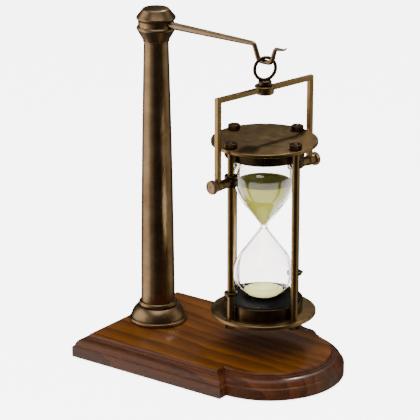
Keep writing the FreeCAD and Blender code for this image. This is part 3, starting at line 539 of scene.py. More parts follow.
# %% [markdown]
# ## The base
# One board, cut to a rectangle with a round lobe and then moulded round its whole edge. Each
# height on the moulding has its own inset from the edge. The outline is worked out again for
# each inset, so the corners mitre as they do when a cutter runs round the board.

# %% Base outline
board_low, board_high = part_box("base_board")
LOBE_RADIUS = 71.6
lobe_centre = board_high.x / MM - LOBE_RADIUS
board_back = -board_low.x / MM
board_front = 53.2
board_half = board_high.y / MM


def board_outline(inset, arc_steps=72, edge_steps=6):
    """Corners of the board's plan at one inset, anticlockwise from the back right corner."""
    half = board_half - inset
    radius = LOBE_RADIUS - inset
    front = board_front - inset
    back_edge = -board_back + inset
    meet = math.sqrt(radius ** 2 - (front - lobe_centre) ** 2)
    corners = [(back_edge, half), (back_edge, -half), (front, -half), (front, -meet)]
    plan = []
    for (x0, y0), (x1, y1) in zip(corners, corners[1:]):
        for k in range(edge_steps):
            share = k / edge_steps
            plan.append((x0 + (x1 - x0) * share, y0 + (y1 - y0) * share))
    reach = math.atan2(meet, front - lobe_centre)
    for k in range(arc_steps + 1):
        angle = -reach + 2 * reach * k / arc_steps
        plan.append((lobe_centre + radius * math.cos(angle), radius * math.sin(angle)))
    for (x0, y0), (x1, y1) in (((front, meet), (front, half)), ((front, half), (back_edge, half))):
        for k in range(1, edge_steps + 1):
            share = k / edge_steps
            plan.append((x0 + (x1 - x0) * share, y0 + (y1 - y0) * share))
    return plan[:-1]


# %% Base board
BORE, NUT_WELL = 3.3, 10.0          # radii round the tie rod and its nut
# (inset, height) up the moulding: plinth, ledge, ovolo, cove, bead and the flat top
MOULDING = [(0.8, 1.5), (0.0, 2.3), (0.0, 11.8), (1.2, 13.0), (1.8, 13.0),
            (8.4, 20.0, 8.0, -1), (9.3, 20.0), (9.3, 21.2), (11.3, 21.2), (11.3, 22.7),
            (12.6, 24.0)]
moulding_side = [(-inset, height, *rest) for inset, height, *rest in MOULDING]
levels = soften(section(moulding_side, 8.0), 0.3)
rings = [board_outline(-level.x) for level in levels]
around_board = len(rings[0])
vertices = [(x * MM, y * MM, level.y * MM) for ring, level in zip(rings, levels)
            for x, y in ring]
faces = []
for j in range(len(rings) - 1):
    for k in range(around_board):
        after = (k + 1) % around_board
        low, high = j * around_board, (j + 1) * around_board
        faces.append([low + k, low + after, high + after, high + k])
faces.append(list(range(around_board))[::-1])
faces.append([(len(rings) - 1) * around_board + k for k in range(around_board)])
board = mesh_object("base_board_wood", vertices, faces, 30.0)
bored = [cylinder(BORE, -5, 30, 48), cylinder(NUT_WELL, -5, 10, 64)]
for cutter in bored:
    move(cutter, at(column.x, column.y, 0))
boolean(board, bored, "DIFFERENCE")
finished(board, "stand", ["base_board"], wood_edge)
board.data.materials.append(wood_top)
for polygon in board.data.polygons:
    if polygon.normal.z > 0.999 and polygon.center.z > 23.9 * MM:
        polygon.material_index = 1

# %% [markdown]
# Felt is glued under the board so the stand doesn't scratch a table. It is a flat sheet that
# follows the board's outline, 4 mm in from the edge.

# %% Felt
FELT_INSET = 4.0
FELT_THICKNESS = 1.5
felt_plan = board_outline(FELT_INSET)
count = len(felt_plan)
vertices = [(x * MM, y * MM, z * MM) for z in (0.0, FELT_THICKNESS) for x, y in felt_plan]
faces = [[k, (k + 1) % count, count + (k + 1) % count, count + k] for k in range(count)]
faces += [list(range(count))[::-1], [count + k for k in range(count)]]
felt = mesh_object("base_felt_sheet", vertices, faces)
finished(felt, "stand", ["base_felt"], felt_green)

# %% [markdown]
# ## The column
# Six turned pieces are stacked on a hidden tie rod: a bell-shaped foot, a bead, a long shaft with
# a slight swell, a capital, a neck ring and a cap. Each is its own section, written as the turner
# would: up the outside from the bottom edge, and down the bore.

# %% Column sections
COLUMN_SECTIONS = {
    "column_foot": [(BORE, 0), (26.7, 0), (26.7, 4.2, 2.5, -1), (25.5, 4.2), (25.5, 5.2),
                    (26.2, 5.2), (19.6, 15.8, 17.0, -1), (BORE, 15.8)],
    "column_lower_bead": [(BORE, 0), (17.3, 0), (17.3, 4.8, 2.75, -1), (BORE, 4.8)],
    "column_shaft": [(BORE, 0), (16.3, 0), (11.7, 258.4, 11800.0, -1), (BORE, 258.4)],
    "column_capital": [(BORE, 0), (12.1, 0), (12.1, 1.6, 1.05, -1), (12.4, 1.6), (12.9, 2.8),
                       (18.2, 12.1), (18.2, 14.3, 2.2, -1), (17.3, 15.5), (BORE, 15.5)],
    "neck_ring": [(BORE, 0), (17.0, 0), (17.0, 5.0), (BORE, 5.0)],
    "column_cap": [(0, 8.5), (3.0, 8.5), (3.0, 0), (17.02, 0), (18.4, 1.92),
                   (18.4, 3.84, 1.68, -1), (13.3, 10.1), (11.9, 11.5, 2.4, -1), (0, 11.5)],
}
# steps round the axis, degrees between points of an arc, and the round on its edges
FINENESS = {"column_shaft": (128, 0.05, 0.3), "column_foot": (128, 4.0, 0.25)}
column_pieces = {}
for name, corners in COLUMN_SECTIONS.items():
    steps, degrees, round_ = FINENESS.get(name, (112, 6.0, 0.25))
    open_ends = corners[0][0] == 0
    piece = turned(name + "_turned", corners, round_, steps, loop=not open_ends,
                   degrees=degrees)
    column_pieces[name] = move(piece, at(column.x, column.y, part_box(name)[0].z))

# %% Arm socket and finishes
arm_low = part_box("hook_arm")[0]
ARM_LEVEL = 321.3
SOCKET, SOCKET_DEPTH = 4.0, 12.0
for name in ("column_capital", "neck_ring", "column_cap"):
    socket = cylinder(SOCKET, 0, SOCKET_DEPTH, 48)
    move(socket, at(arm_low.x, 0, ARM_LEVEL * MM) @ facing(0))
    boolean(column_pieces[name], [socket], "DIFFERENCE")
for name, piece in column_pieces.items():
    finished(piece, "stand", [name], bronze_column)

# %% [markdown]
# ## The hook arm
# The arm was forged from one round bar that thins towards the hook and ends in a point. It
# follows a path, so Geometry Nodes make it: the tree turns a curve into a tube whose radius comes
# from each point of the curve, fills its ends and gives it its finish.

# %% Tree: forged bar
def new_shaper(name, inputs):
    """A Geometry Nodes tree that ends in end_shaper and is used by grown."""
    return new_tree("GeometryNodeTree", name, [
        ("Geometry", GEOMETRY, None), *inputs, ("Finish", MATERIAL, None)],
        [("Geometry", GEOMETRY)])


def end_shaper(t, shape, given, result):
    """Makes copies real and gives them the finish."""
    real = t.node("GeometryNodeRealizeInstances", {"Geometry": shape.outputs[0]})
    painted = t.node("GeometryNodeSetMaterial", {"Geometry": real.outputs[0],
                                                 "Material": given["Finish"]})
    t.link(painted.outputs[0], result["Geometry"])


forged_bar, t, given, result = new_shaper("forged_bar", [("Sides", INT, 40)])
rim = t.node("GeometryNodeCurvePrimitiveCircle", {"Resolution": given["Sides"], "Radius": 1.0})
tube = t.node("GeometryNodeCurveToMesh", {"Curve": given["Geometry"],
                                          "Profile Curve": rim.outputs[0],
                                          "Scale": t.node("GeometryNodeInputRadius").outputs[0],
                                          "Fill Caps": True})
smooth = t.node("GeometryNodeSetShadeSmooth", {"Geometry": tube.outputs[0]})
end_shaper(t, smooth, given, result)


def grown(piece, tree, values):
    """The plain mesh that a tree makes from a piece, with inputs given by their names."""
    modifier = piece.modifiers.new("grow", "NODES")
    modifier.node_group = tree
    for item in tree.interface.items_tree:
        if item.in_out == "INPUT" and item.name in values:
            modifier[item.identifier] = values[item.name]
    bpy.context.view_layer.update()
    graph = bpy.context.evaluated_depsgraph_get()
    made = bpy.data.meshes.new_from_object(piece.evaluated_get(graph))
    name = piece.name
    bpy.data.objects.remove(piece)
    return linked(name, made)


# %% Arm path
HOOK_LOW = 303.4
HANG = hang.x / MM
ARM_CORNERS = [(arm_low.x / MM, ARM_LEVEL, 0), (HANG - 12.4, ARM_LEVEL - 2.6, 3.6),
               (HANG - 6.9, HOOK_LOW, 4.6), (HANG + 6.9, HOOK_LOW, 4.6),
               (HANG + 11.2, HOOK_LOW + 13.9, 3.0), (HANG + 20.8, HOOK_LOW + 14.3, 4.0),
               (HANG + 24.2, HOOK_LOW + 17.2, 0)]
# radius at each share of the arm's length
ARM_TAPER = [(0.0, 3.75), (0.64, 2.3), (0.88, 2.3), (0.985, 0.85), (1.0, 0.2)]


def bent_path(corners, degrees=6.0):
    """Straight runs joined by arcs that touch them, as 2D points in millimetres."""
    path = [Vector(corners[0][:2])]
    for before, corner, after in zip(corners, corners[1:], corners[2:]):
        point = Vector(corner[:2])
        a = (Vector(before[:2]) - point).normalized()
        b = (Vector(after[:2]) - point).normalized()
        half = a.angle(b) / 2
        reach = corner[2] / math.tan(half)
        side = -1 if a.x * b.y - a.y * b.x > 0 else 1
        path.append(point + a * reach)
        path += arc_points(path[-1], point + b * reach, corner[2], -side, degrees)
    end = Vector(corners[-1][:2])
    start = path[-1]
    path += [start.lerp(end, share) for share in (0.25, 0.5, 0.75, 0.93, 1.0)]
    return path


def at_share(share, knots):
    for (low, low_value), (high, high_value) in zip(knots, knots[1:]):
        if share <= high:
            return low_value + (high_value - low_value) * (share - low) / (high - low)
    return knots[-1][1]


# %% Hook arm
path = bent_path(ARM_CORNERS)
lengths = [0.0]
for a, b in zip(path, path[1:]):
    lengths.append(lengths[-1] + (b - a).length)
curve = bpy.data.curves.new("hook_arm_forged", "CURVE")
curve.dimensions = "3D"
spline = curve.splines.new("POLY")
spline.points.add(len(path) - 1)
for point, where, walked in zip(spline.points, path, lengths):
    point.co = (where.x * MM, 0.0, where.y * MM, 1.0)
    point.radius = at_share(walked / lengths[-1], ARM_TAPER) * MM
arm = grown(linked("hook_arm_forged", curve), forged_bar, {"Sides": 40, "Finish": bronze_arm})
arm.data.set_sharp_from_angle(angle=math.radians(50))
print("arm is %.0f mm long along its bends" % lengths[-1])
finished(arm, "stand", ["hook_arm"], bronze_arm)

# %% [markdown]
# ## Swivel ring and bail
# The ring is a torus brazed into a turned collar. The collar's shank goes down through the bail's
# boss, and a nut under the boss keeps it there, so the bail can turn. A torus is a small circle
# spun at a distance from the axis, which is one more section for the lathe.

# %% Swivel
def circle_section(centre_radius, wire, steps=28):
    return [Vector((centre_radius + wire * math.cos(math.tau * k / steps),
                    wire * math.sin(math.tau * k / steps))) for k in range(steps)]


eye_low, eye_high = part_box("swivel_eye")
RING_RADIUS, RING_WIRE = 10.4, 1.6
ring_centre = eye_high.z / MM - RING_RADIUS - RING_WIRE
RING_TURN = math.radians(-31.0)
COLLAR_LOW = 281.6
shank_low = eye_low.z / MM
ring = lathe("swivel_ring", circle_section(RING_RADIUS, RING_WIRE), 96, loop=True)
move(ring, at(0, 0, ring_centre * MM) @ facing(RING_TURN))
collar = turned("collar", [
    (0, shank_low), (2.4, shank_low), (2.4, COLLAR_LOW), (5.6, COLLAR_LOW),
    (6.2, COLLAR_LOW + 0.6), (6.2, COLLAR_LOW + 3.9), (5.3, COLLAR_LOW + 4.8),
    (0, COLLAR_LOW + 4.8)], 0.3, 72)
boolean(ring, [collar], "UNION")
move(ring, at(hang.x, hang.y, 0))
finished(ring, "swivel", ["swivel_eye"], bronze_dark)

# %% Bail section and sweep
BAR = 4.7
LEG = 57.5
PIVOT = 197.6
BAIL_TOP = 278.0


def swept_bar(name, path, outline):
    """Carries a flat outline of (across, sideways) points along a path in the XZ plane."""
    vertices, faces = [], []
    for i, point in enumerate(path):
        before = (point - path[i - 1]).normalized() if i else None
        after = (path[i + 1] - point).normalized() if i < len(path) - 1 else None
        along = ((before or after) + (after or before)).normalized()
        across = Vector((-along.y, along.x))
        stretch = 1.0 / max(across.dot(Vector((-(after or before).y, (after or before).x))), 0.5)
        for u, v in outline:
            spot = point + across * (u * stretch)
            vertices.append((spot.x * MM, v * MM, spot.y * MM))
    count = len(outline)
    for i in range(len(path) - 1):
        for k in range(count):
            after = (k + 1) % count
            faces.append([i * count + k, i * count + after,
                          (i + 1) * count + after, (i + 1) * count + k])
    faces.append(list(range(count))[::-1])
    faces.append([(len(path) - 1) * count + k for k in range(count)])
    made = mesh_object(name, vertices, faces)
    mesh = bmesh.new()
    mesh.from_mesh(made.data)
    bmesh.ops.recalc_face_normals(mesh, faces=mesh.faces)
    mesh.to_mesh(made.data)
    mesh.free()
    return made


half = BAR / 2
square = [Vector(p) for p in ((-half, -half), (half, -half), (half, half), (-half, half))]
bar_outline = soften(square, 0.45, loop=True)
bail_path = [Vector((-LEG, PIVOT)), Vector((-LEG, BAIL_TOP)), Vector((LEG, BAIL_TOP)),
             Vector((LEG, PIVOT))]
bail = swept_bar("bail_forged", bail_path, bar_outline)

# %% [markdown]
# The corners of the bail are sharp mitres outside. Its two legs end in round eyes for the pivot
# pins, and its middle has a boss with a flange, bored for the swivel's shank and widened below
# for the shank's nut.

# %% Bail eyes, boss and bores
BOSS_TOP, BOSS_LOW = 281.4, 273.2
EYE, PIN_HOLE = 5.0, 2.08           # radii of an eye on a leg and of its hole
boss = turned("boss", [
    (0, BOSS_LOW), (6.5, BOSS_LOW), (8.5, BOSS_LOW + 2.0, 2.0, -1), (8.5, BOSS_TOP - 1.9),
    (9.6, BOSS_TOP - 1.3), (9.6, BOSS_TOP - 0.4), (9.2, BOSS_TOP), (0, BOSS_TOP)], 0.2, 80)
parts = [boss]
holes = []
for sign in (-1, 1):
    pivot = at(sign * LEG * MM, 0, PIVOT * MM) @ facing(0)
    parts.append(move(turned("eye", [(0, -half), (EYE, -half), (EYE, half), (0, half)],
                             0.4, 64), pivot))
    holes.append(move(cylinder(PIN_HOLE, -6, 6, 40), pivot))
shank = cylinder(2.5, 265, 290, 48)
nut_well = cylinder(5.0, 265, 276.2, 56)
boolean(bail, parts, "UNION")
boolean(bail, holes + [shank, nut_well], "DIFFERENCE")
move(bail, at(hang.x, hang.y, 0) @ about_z(bail_angle))
finished(bail, "bail", ["bail_frame"], bronze_cage)

# %% [markdown]
# ## Knurled nuts and knobs
# The rod nuts and the pivot knobs are knurled so that fingers can turn them. One tree makes all
# of them. It takes a turned blank, cuts shallow ridges into whatever lies outside a given radius,
# and sets copies of it on a circle, as the four nuts of a plate are.

# %% Tree: knurled set
knurled_set, t, given, result = new_shaper("knurled_set", [
    ("Ridges", FLOAT, 36.0), ("Ridge Depth", FLOAT, 0.0003), ("Inner Radius", FLOAT, 0.005),
    ("Copies", INT, 4), ("Circle Radius", FLOAT, 0.0415)])
place = t.node("GeometryNodeInputPosition").outputs[0]
apart = t.node("ShaderNodeSeparateXYZ", {0: place}).outputs
angle = t.math("ARCTAN2", apart["Y"], apart["X"])
flat = t.node("ShaderNodeCombineXYZ", {0: apart["X"], 1: apart["Y"], 2: 0.0}).outputs[0]
radius = t.node("ShaderNodeVectorMath", {0: flat}, operation="LENGTH").outputs["Value"]
outward = t.vector("NORMALIZE", {0: flat})
wave = t.math("COSINE", t.math("MULTIPLY", angle, given["Ridges"]))
valley = t.math("MULTIPLY", t.math("MULTIPLY", t.math("SUBTRACT", 1.0, wave), 0.5),
                given["Ridge Depth"])
outside = t.math("GREATER_THAN", radius, given["Inner Radius"])
inward = t.math("MULTIPLY", t.math("MULTIPLY", valley, outside), -1.0)
offset = t.vector("SCALE", {0: outward, "Scale": inward})
cut_blank = t.node("GeometryNodeSetPosition", {"Geometry": given["Geometry"], "Offset": offset})
index = t.node("GeometryNodeInputIndex").outputs[0]
share = t.math("MULTIPLY", t.math("DIVIDE", index, given["Copies"]), math.tau)
on_circle = t.node("ShaderNodeCombineXYZ", {
    0: t.math("MULTIPLY", t.math("COSINE", share), given["Circle Radius"]),
    1: t.math("MULTIPLY", t.math("SINE", share), given["Circle Radius"]), 2: 0.0}).outputs[0]
spots = t.node("GeometryNodePoints", {"Count": given["Copies"], "Position": on_circle})
copies = t.node("GeometryNodeInstanceOnPoints", {"Points": spots.outputs[0],
                                                 "Instance": cut_blank.outputs[0]})
end_shaper(t, copies, given, result)

# %% Rod nuts
SIDES = (("left", math.pi), ("right", 0.0))     # turn from the bail's direction
RIDGE_DEPTH = 0.35 * MM
NUT = [(2.0, 0), (5.3, 0), (5.9, 0.6), (5.9, 4.2), (5.3, 4.8), (2.6, 4.8), (2.0, 4.2)]
for node in ("top_nuts", "bottom_nuts"):
    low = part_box(node)[0].z
    nut = turned(node + "_knurled", NUT, 0.2, 216, loop=True)
    nut = grown(nut, knurled_set, {"Ridges": 36.0, "Ridge Depth": RIDGE_DEPTH,
                                   "Inner Radius": 5.75 * MM, "Copies": 4,
                                   "Circle Radius": rod_circle, "Finish": bronze_dark})
    nut.data.set_sharp_from_angle(angle=math.radians(40))
    move(nut, at(hang.x, hang.y, low) @ about_z(bail_angle))
    finished(nut, "cage", [node], bronze_dark)

# %% Pivot knobs
KNOB = [(0, 5.0), (2.0, 5.0), (2.0, 0), (4.8, 0), (4.8, 2.2), (5.8, 2.2), (6.5, 2.9),
        (6.5, 6.1), (5.8, 6.8), (4.4, 6.8), (4.0, 6.4), (1.5, 6.4), (1.3, 6.1), (0, 5.7)]
KNOB_START = 60.0
for side, turn in SIDES:
    knob = turned("pivot_knob_%s_knurled" % side, KNOB, 0.2, 240)
    knob = grown(knob, knurled_set, {"Ridges": 40.0, "Ridge Depth": RIDGE_DEPTH,
                                     "Inner Radius": 6.3 * MM, "Copies": 1,
                                     "Circle Radius": 0.0, "Finish": bronze_arm})
    knob.data.set_sharp_from_angle(angle=math.radians(40))
    where = Vector((math.cos(bail_angle + turn), math.sin(bail_angle + turn), 0))
    spot = Vector((hang.x, hang.y, PIVOT * MM)) + where * (KNOB_START * MM)
    move(knob, Matrix.Translation(spot) @ facing(bail_angle + turn))
    finished(knob, "sliders", ["pivot_knob_" + side], bronze_arm)

# %% [markdown]
# ## The cage
# Two round plates, four rods, two cups and two pads hold the glass. The two rods under the bail
# carry sliders with pivot pins, and a stop ring at each end of their travel. The sliders turn in
# the bail's eyes, so they are a body of their own.

# %% Plates, rods, cups and pads
IN_CAGE = at(hang.x, hang.y, glass_middle)
# half the height between the plates, a plate's thickness, a rod's thread, the cup's floor and
# the end of the glass from its middle
HALF, THICK, THREAD, CUP_FLOOR, GLASS_END = 81.4, 3.4, 3.9, 1.2, 71.0
PLATE = [(0, 0), (48.9, 0), (49.4, 0.5), (49.4, 2.9), (48.9, THICK), (0, THICK)]
for node in ("top_plate", "bottom_plate"):
    plate = turned(node + "_turned", PLATE, 0.25, 160)
    move(plate, at(hang.x, hang.y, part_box(node)[0].z))
    finished(plate, "cage", [node], bronze_cage)

REACH = HALF + THICK + THREAD
ROD = [(0, -REACH), (2.0, -REACH), (2.0, -HALF), (3.25, -HALF), (3.25, HALF), (2.0, HALF),
       (2.0, REACH), (0, REACH)]
for node in ("pivot_rod_left", "pivot_rod_right", "plain_rod_front", "plain_rod_back"):
    rod = turned(node + "_drawn", ROD, 0.2, 48)
    spot = middle(node)
    finished(move(rod, at(spot.x, spot.y, glass_middle)), "cage", [node], bronze_cage)

CUP = [(0, -HALF), (37.0, -HALF), (37.0, 11.1 - HALF), (36.6, 11.5 - HALF),
       (35.5, 11.5 - HALF), (35.5, CUP_FLOOR - HALF), (0, CUP_FLOOR - HALF)]
CROWN = 31.125
FACE = 12.4 - HALF
DISH = math.sqrt(CROWN ** 2 - (CROWN - FACE - GLASS_END) ** 2)
PAD = [(0, CUP_FLOOR - HALF), (35.45, CUP_FLOOR - HALF), (35.45, FACE), (DISH, FACE),
       (0, -GLASS_END, CROWN, 1)]
for end, turn in (("bottom", 0.0), ("top", math.pi)):
    place = IN_CAGE @ Matrix.Rotation(turn, 4, "X")
    cup = turned(end + "_cup_spun", CUP, 0.25, 144)
    # The cups take the bronze that is painted darker as shade.
    finished(move(cup, place), "cage", [end + "_cup"], bronze_cup_painted_shade)
    pad = turned(end + "_pad_pressed", PAD, 0.5, 128)
    finished(move(pad, place), "cage", [end + "_pad"], pad_black)

# %% Sliders and spacers
PIN, COLLAR = 2.0, 6.5              # radii of a pivot pin and of a slider
SPACER = [(PIN, 3.85), (4.4, 3.85), (4.4, 13.5), (PIN, 13.5)]
SLIDER = [(3.35, -3.6), (5.7, -3.6), (6.5, -2.8), (6.5, 2.8), (5.7, 3.6), (3.35, 3.6)]
for side, turn in SIDES:
    spot = middle("pivot_rod_" + side)
    direction = bail_angle + turn
    place = at(spot.x, spot.y, PIVOT * MM)
    slider = turned("pivot_slider_%s_turned" % side, SLIDER, 0.25, 96, loop=True)
    pin = cylinder(PIN, 4.2, 23.4, 40)
    move(pin, facing(direction))
    boolean(slider, [pin], "UNION")
    finished(move(slider, place), "sliders", ["pivot_slider_" + side], bronze_dark)
    spacer = turned("pivot_spacer_%s_turned" % side, SPACER, 0.3, 72, loop=True)
    move(spacer, facing(direction))
    seat = cylinder(COLLAR, -8, 8, 96)
    boolean(spacer, [seat], "DIFFERENCE")
    finished(move(spacer, place), "sliders", ["pivot_spacer_" + side], bronze_dark)

# %% [markdown]
# Each stop ring is locked on its rod by a set screw in its side. The four screws are one small
# turned blank, set by Geometry Nodes on four points. Each point says which way its screw points
# in an attribute, and Align Rotation to Vector turns the screw's axis that way.

# %% Stop rings
STOP = [(3.27, 0), (5.6, 0), (6.2, 0.6), (6.2, 3.0), (5.6, 3.6), (3.27, 3.6)]
screw_spots = []
for level in ("upper", "lower"):
    for side, turn in SIDES:
        node = "%s_stop_%s" % (level, side)
        stop = turned(node + "_turned", STOP, 0.25, 96, loop=True)
        spot = middle(node)
        aim = bail_angle + turn + math.radians(20.0 if side == "left" else -20.0)
        hole = cylinder(1.32, 0, 12, 32)
        move(stop, at(spot.x, spot.y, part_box(node)[0].z))
        move(hole, at(spot.x, spot.y, spot.z) @ facing(aim))
        boolean(stop, [hole], "DIFFERENCE")
        finished(stop, "cage", [node], bronze_dark)
        screw_spots.append((spot, Vector((math.cos(aim), math.sin(aim), 0))))

# %% Tree: set screws
SCREW_START = 0.0033       # metres from the rod's axis
screw_row, t, given, result = new_shaper("set_screws", [
    ("Screw Radius", FLOAT, 0.0013), ("Screw Reach", FLOAT, 0.0074)])
blank = t.node("GeometryNodeMeshCylinder", {"Vertices": 24, "Radius": given["Screw Radius"],
                                            "Depth": given["Screw Reach"]})
lifted = t.node("GeometryNodeTransform", {
    "Geometry": blank.outputs[0],
    "Translation": t.node("ShaderNodeCombineXYZ", {
        2: t.math("ADD", t.math("MULTIPLY", given["Screw Reach"], 0.5), SCREW_START)}).outputs[0]})
direction = t.node("GeometryNodeInputNamedAttribute", {"Name": "direction"},
                   data_type="FLOAT_VECTOR").outputs[0]
aimed = t.node("FunctionNodeAlignRotationToVector", {"Vector": direction}, axis="Z")
copies = t.node("GeometryNodeInstanceOnPoints", {
    "Points": given["Geometry"], "Instance": lifted.outputs[0], "Rotation": aimed.outputs[0]})
end_shaper(t, copies, given, result)

# %% Set screws
points = bpy.data.meshes.new("stop_set_screws_fitted")
points.from_pydata([tuple(spot) for spot, _ in screw_spots], [], [])
attribute = points.attributes.new("direction", "FLOAT_VECTOR", "POINT")
for value, (_, direction) in zip(attribute.data, screw_spots):
    value.vector = direction
screws = grown(linked("stop_set_screws_fitted", points), screw_row, {
    "Screw Radius": 1.25 * MM, "Screw Reach": 4.1 * MM, "Finish": bronze_dark})
finished(screws, "cage", ["stop_set_screws"], bronze_dark)

# %% [markdown]
# ## The glass and its sand
# Both bulbs are one blown shape, so one section holds the outside wall and one the inside. The
# inside is spun the other way round, so its faces point into the hollow: with a wall of real
# thickness the glass bends light as it should, with dark rims and a bright edge.

# %% Glass wall sections
BULB, OFFSET, END, CORNER, SHOULDER, WAIST_ARC = 28.0, 48.0, GLASS_END, 19.0, 38.8, 4.0
side_run, depth = BULB - CORNER, END - OFFSET
CROWN_OUT = (side_run ** 2 + depth ** 2 - CORNER ** 2) / (2 * (depth - CORNER))


def bulb(wall, waist):
    """Where the arcs of one bulb meet, for a wall moved in by this much."""
    radius, shoulder, corner = BULB - wall, SHOULDER - wall, CORNER - wall
    crown = CROWN_OUT - wall
    shoulder_x, waist_x = radius - shoulder, waist + WAIST_ARC
    run_x = waist_x - shoulder_x
    lean = math.atan2(OFFSET, run_x) - math.acos((WAIST_ARC + shoulder) / math.hypot(run_x,
                                                                                    OFFSET))
    neck = (waist_x - WAIST_ARC * math.cos(lean), WAIST_ARC * math.sin(lean))
    start = (shoulder_x + shoulder * math.cos(lean), OFFSET - shoulder * math.sin(lean))
    drop = crown - (END - wall - OFFSET)
    reach = crown / (crown - corner)
    hand = ((radius - corner) * reach, OFFSET - drop + drop * reach)
    return radius, shoulder, corner, crown, neck, start, hand, END - wall


def double_bulb(wall, waist):
    radius, shoulder, corner, crown, neck, start, hand, end = bulb(wall, waist)
    return section([
        (0, -end), (hand[0], -hand[1], crown, -1), (radius, -OFFSET, corner, -1),
        (start[0], -start[1], shoulder, -1), (neck[0], -neck[1]),
        (neck[0], neck[1], WAIST_ARC, 1), start, (radius, OFFSET, shoulder, -1),
        (hand[0], hand[1], corner, -1), (0, end, crown, -1)], 3.0)


# %% Glass bulbs
WALL, ORIFICE = 1.3, 0.9
outside = lathe("glass_bulbs_blown", double_bulb(0.0, 3.1), 128)
inside = lathe("inside", double_bulb(WALL, ORIFICE), 128, flip=True)
wall = bmesh.new()
wall.from_mesh(outside.data)
wall.from_mesh(inside.data)
wall.to_mesh(outside.data)
wall.free()
bpy.data.objects.remove(inside)
outside.data.shade_smooth()
glass = move(outside, IN_CAGE)
glass_nodes = sorted(name for name in nodes if name.startswith("glass_"))
finished(glass, "cage", glass_nodes, glass_clear)

# %% [markdown]
# Sand lies against the glass and ends in a crater above and a heap below. The free surface is
# finely divided and pushed up and down a little by noise, because real sand never slumps evenly.

# %% Sand bodies

GAP = 0.15
radius, shoulder, _, crown, neck, start, _, end = bulb(WALL + GAP, ORIFICE - GAP)


def free_surface(edge, level, centre, steps=26, round_=5.0):
    """The sand's slope from its edge to its middle, rounded off near the axis."""
    points = []
    for k in range(1, steps + 1):
        r = edge * (1 - k / steps)
        slope = (math.hypot(r, round_) - round_) / (math.hypot(edge, round_) - round_)
        points.append(Vector((r, centre + (level - centre) * slope)))
    return points


def poured(name, node, against, edge, level, centre, height, scale, finish):
    """A body of sand against the glass, its free surface moved up or down by smooth noise."""
    steps = 112
    piece = lathe(name, against + free_surface(edge, level, centre), steps)
    for vertex in piece.data.vertices[1 + steps * (len(against) - 1):]:
        vertex.co.z += height * MM * noise.noise(vertex.co * scale)
    piece.data.update()
    finished(move(piece, IN_CAGE), "cage", [node], finish)


UPPER_LEVEL, CRATER = 44.0, 7.0
upper_edge = radius - shoulder + math.sqrt(shoulder ** 2 - (OFFSET - UPPER_LEVEL) ** 2)
against = section([(0, neck[1]), neck, start, (upper_edge, UPPER_LEVEL, shoulder, -1)], 3.0)
poured("upper_sand_poured", "upper_sand", against, upper_edge, UPPER_LEVEL,
       UPPER_LEVEL - CRATER, 0.45, 260.0, sand_upper_painted_shade)

DEPTH, HEAP = 6.5, 6.2
LOWER_LEVEL = DEPTH - end
heap_edge = math.sqrt(crown ** 2 - (crown - DEPTH) ** 2)
against = section([(0, -end), (heap_edge, LOWER_LEVEL, crown, -1)], 3.0)
poured("lower_sand_heaped", "lower_sand", against, heap_edge, LOWER_LEVEL,
       LOWER_LEVEL + HEAP, 0.35, 300.0, sand_lower)

# %% [markdown]
# ## Hidden steel
# The tie rod, its washer and nut, and the swivel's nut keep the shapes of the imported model. They
# hardly show, so they only need a better finish, which goes into their own material slots.

# %% Hidden steel
for name in ("column_tie_rod", "tie_rod_washer", "tie_rod_nut", "swivel_nut"):
    nodes[name].data.materials.clear()
    nodes[name].data.materials.append(steel_plain)

# %% [markdown]
# ## Floor and light
# The floor is plain and pale. It glows to the camera and through the glass, so it looks white there
# without lighting the object, and glossy rays miss it. A small key lamp high behind the object
# gives highlights, a lamp in front lights what is not metal, and a large one overhead fills.
# Metal shows what stands around it more than it shows lamps, so its reflections are set with
# cards: glowing sheets that only glossy rays see, at the sides, with the front left dark.

# %% Floor
floor_mesh = bpy.data.meshes.new("floor")
FLOOR_HALF = 6.0
floor_mesh.from_pydata([(-FLOOR_HALF, -FLOOR_HALF, 0), (FLOOR_HALF, -FLOOR_HALF, 0),
                        (FLOOR_HALF, FLOOR_HALF, 0), (-FLOOR_HALF, FLOOR_HALF, 0)], [],
                       [(0, 1, 2, 3)])
floor = linked("floor", floor_mesh)
floor.location.z = -0.0002       # just under the felt
floor.visible_glossy = False
GLOW_TO_CAMERA, GLOW_THROUGH_GLASS = 5.5, 4.6
floor_paint, t, floor_shader = new_material("floor_paint")
seen = t.node("ShaderNodeLightPath").outputs
lift = t.math("ADD", t.math("MULTIPLY", seen["Is Camera Ray"], GLOW_TO_CAMERA),
              t.math("MULTIPLY", seen["Is Transmission Ray"], GLOW_THROUGH_GLASS))
t.give(floor_shader, {"Base Color": (0.9, 0.9, 0.895, 1), "Roughness": 0.95,
                      "Specular IOR Level": 0.0, "Emission Strength": lift,
                      "Emission Color": (1, 1, 1, 1)})
floor_paint.cycles.emission_sampling = "NONE"
floor_mesh.materials.append(floor_paint)


# %% Lamps
def soft_lamp(name, place, aim, size, watts):
    data = bpy.data.lights.new(name, "AREA")
    data.shape = "RECTANGLE"
    data.size = data.size_y = size
    data.energy = watts
    lamp = linked(name, data)
    lamp.location = place
    lamp.rotation_euler = (Vector(aim) - Vector(place)).to_track_quat("-Z", "Y").to_euler()
    return lamp


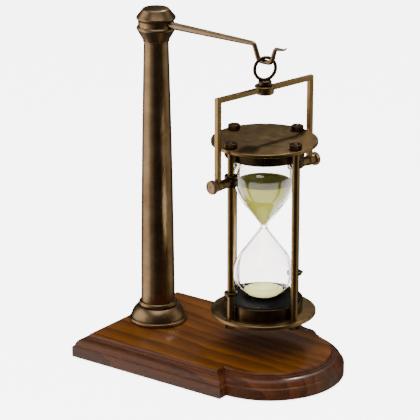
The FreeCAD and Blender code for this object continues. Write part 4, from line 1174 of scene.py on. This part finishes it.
AIM = (0, 0, 0.15)
key = soft_lamp("lamp_key", (-0.13, 0.90, 1.55), (0.04, 0, 0.2), 0.14, 17)
key.visible_diffuse = False
front = soft_lamp("lamp_front", (0.35, -1.15, 1.35), AIM, 0.8, 22)
front.visible_glossy = False
soft_lamp("lamp_top", (0.1, -0.1, 2.0), AIM, 1.8, 22)


# %% Cards
CARD_LOW, CARD_HIGH = -0.9, 1.2     # metres


def card(name, turn, distance, width, glow, colour):
    """A glowing sheet at this angle round the object, seen by glossy rays only."""
    direction = Vector((math.cos(turn), math.sin(turn), 0))
    side = Vector((-direction.y, direction.x, 0)) * (width / 2)
    centre = direction * distance
    corners = [centre - side, centre + side]
    vertices = [(p.x, p.y, z) for z in (CARD_LOW, CARD_HIGH) for p in corners]
    mesh = bpy.data.meshes.new(name)
    mesh.from_pydata(vertices, [], [(0, 1, 3, 2)])
    sheet = linked(name, mesh)
    material, t, shader = new_material(name)
    material.cycles.emission_sampling = "NONE"
    t.give(shader, {"Base Color": (0, 0, 0, 1), "Emission Color": (*colour, 1),
                    "Emission Strength": glow})
    mesh.materials.append(material)
    sheet.visible_camera = False
    sheet.visible_diffuse = False
    sheet.visible_transmission = False
    sheet.visible_shadow = False


TOWARD_CAMERA = math.atan2(back.y, back.x)
card("card_left", TOWARD_CAMERA - math.radians(92), 1.2, 1.4, 1.9, (1.0, 0.92, 0.85))
card("card_left_soft", TOWARD_CAMERA - math.radians(46), 1.3, 0.75, 0.32,
     (1.0, 0.92, 0.84))
card("card_right", TOWARD_CAMERA + math.radians(92), 1.2, 1.4, 0.6,
     (1.0, 0.93, 0.72))

# %% World
world = bpy.data.worlds.new("world")
bpy.context.scene.world = world
world.use_nodes = True
t = Tree(world.node_tree)
background = world.node_tree.nodes["Background"]
ray = t.node("ShaderNodeLightPath").outputs["Is Glossy Ray"]
FILL, SEEN_BY_METAL = 0.45, 0.04
strength = t.math("ADD", t.math("MULTIPLY", ray, SEEN_BY_METAL - FILL), FILL)
t.give(background, {"Strength": strength, "Color": (1, 1, 1, 1)})
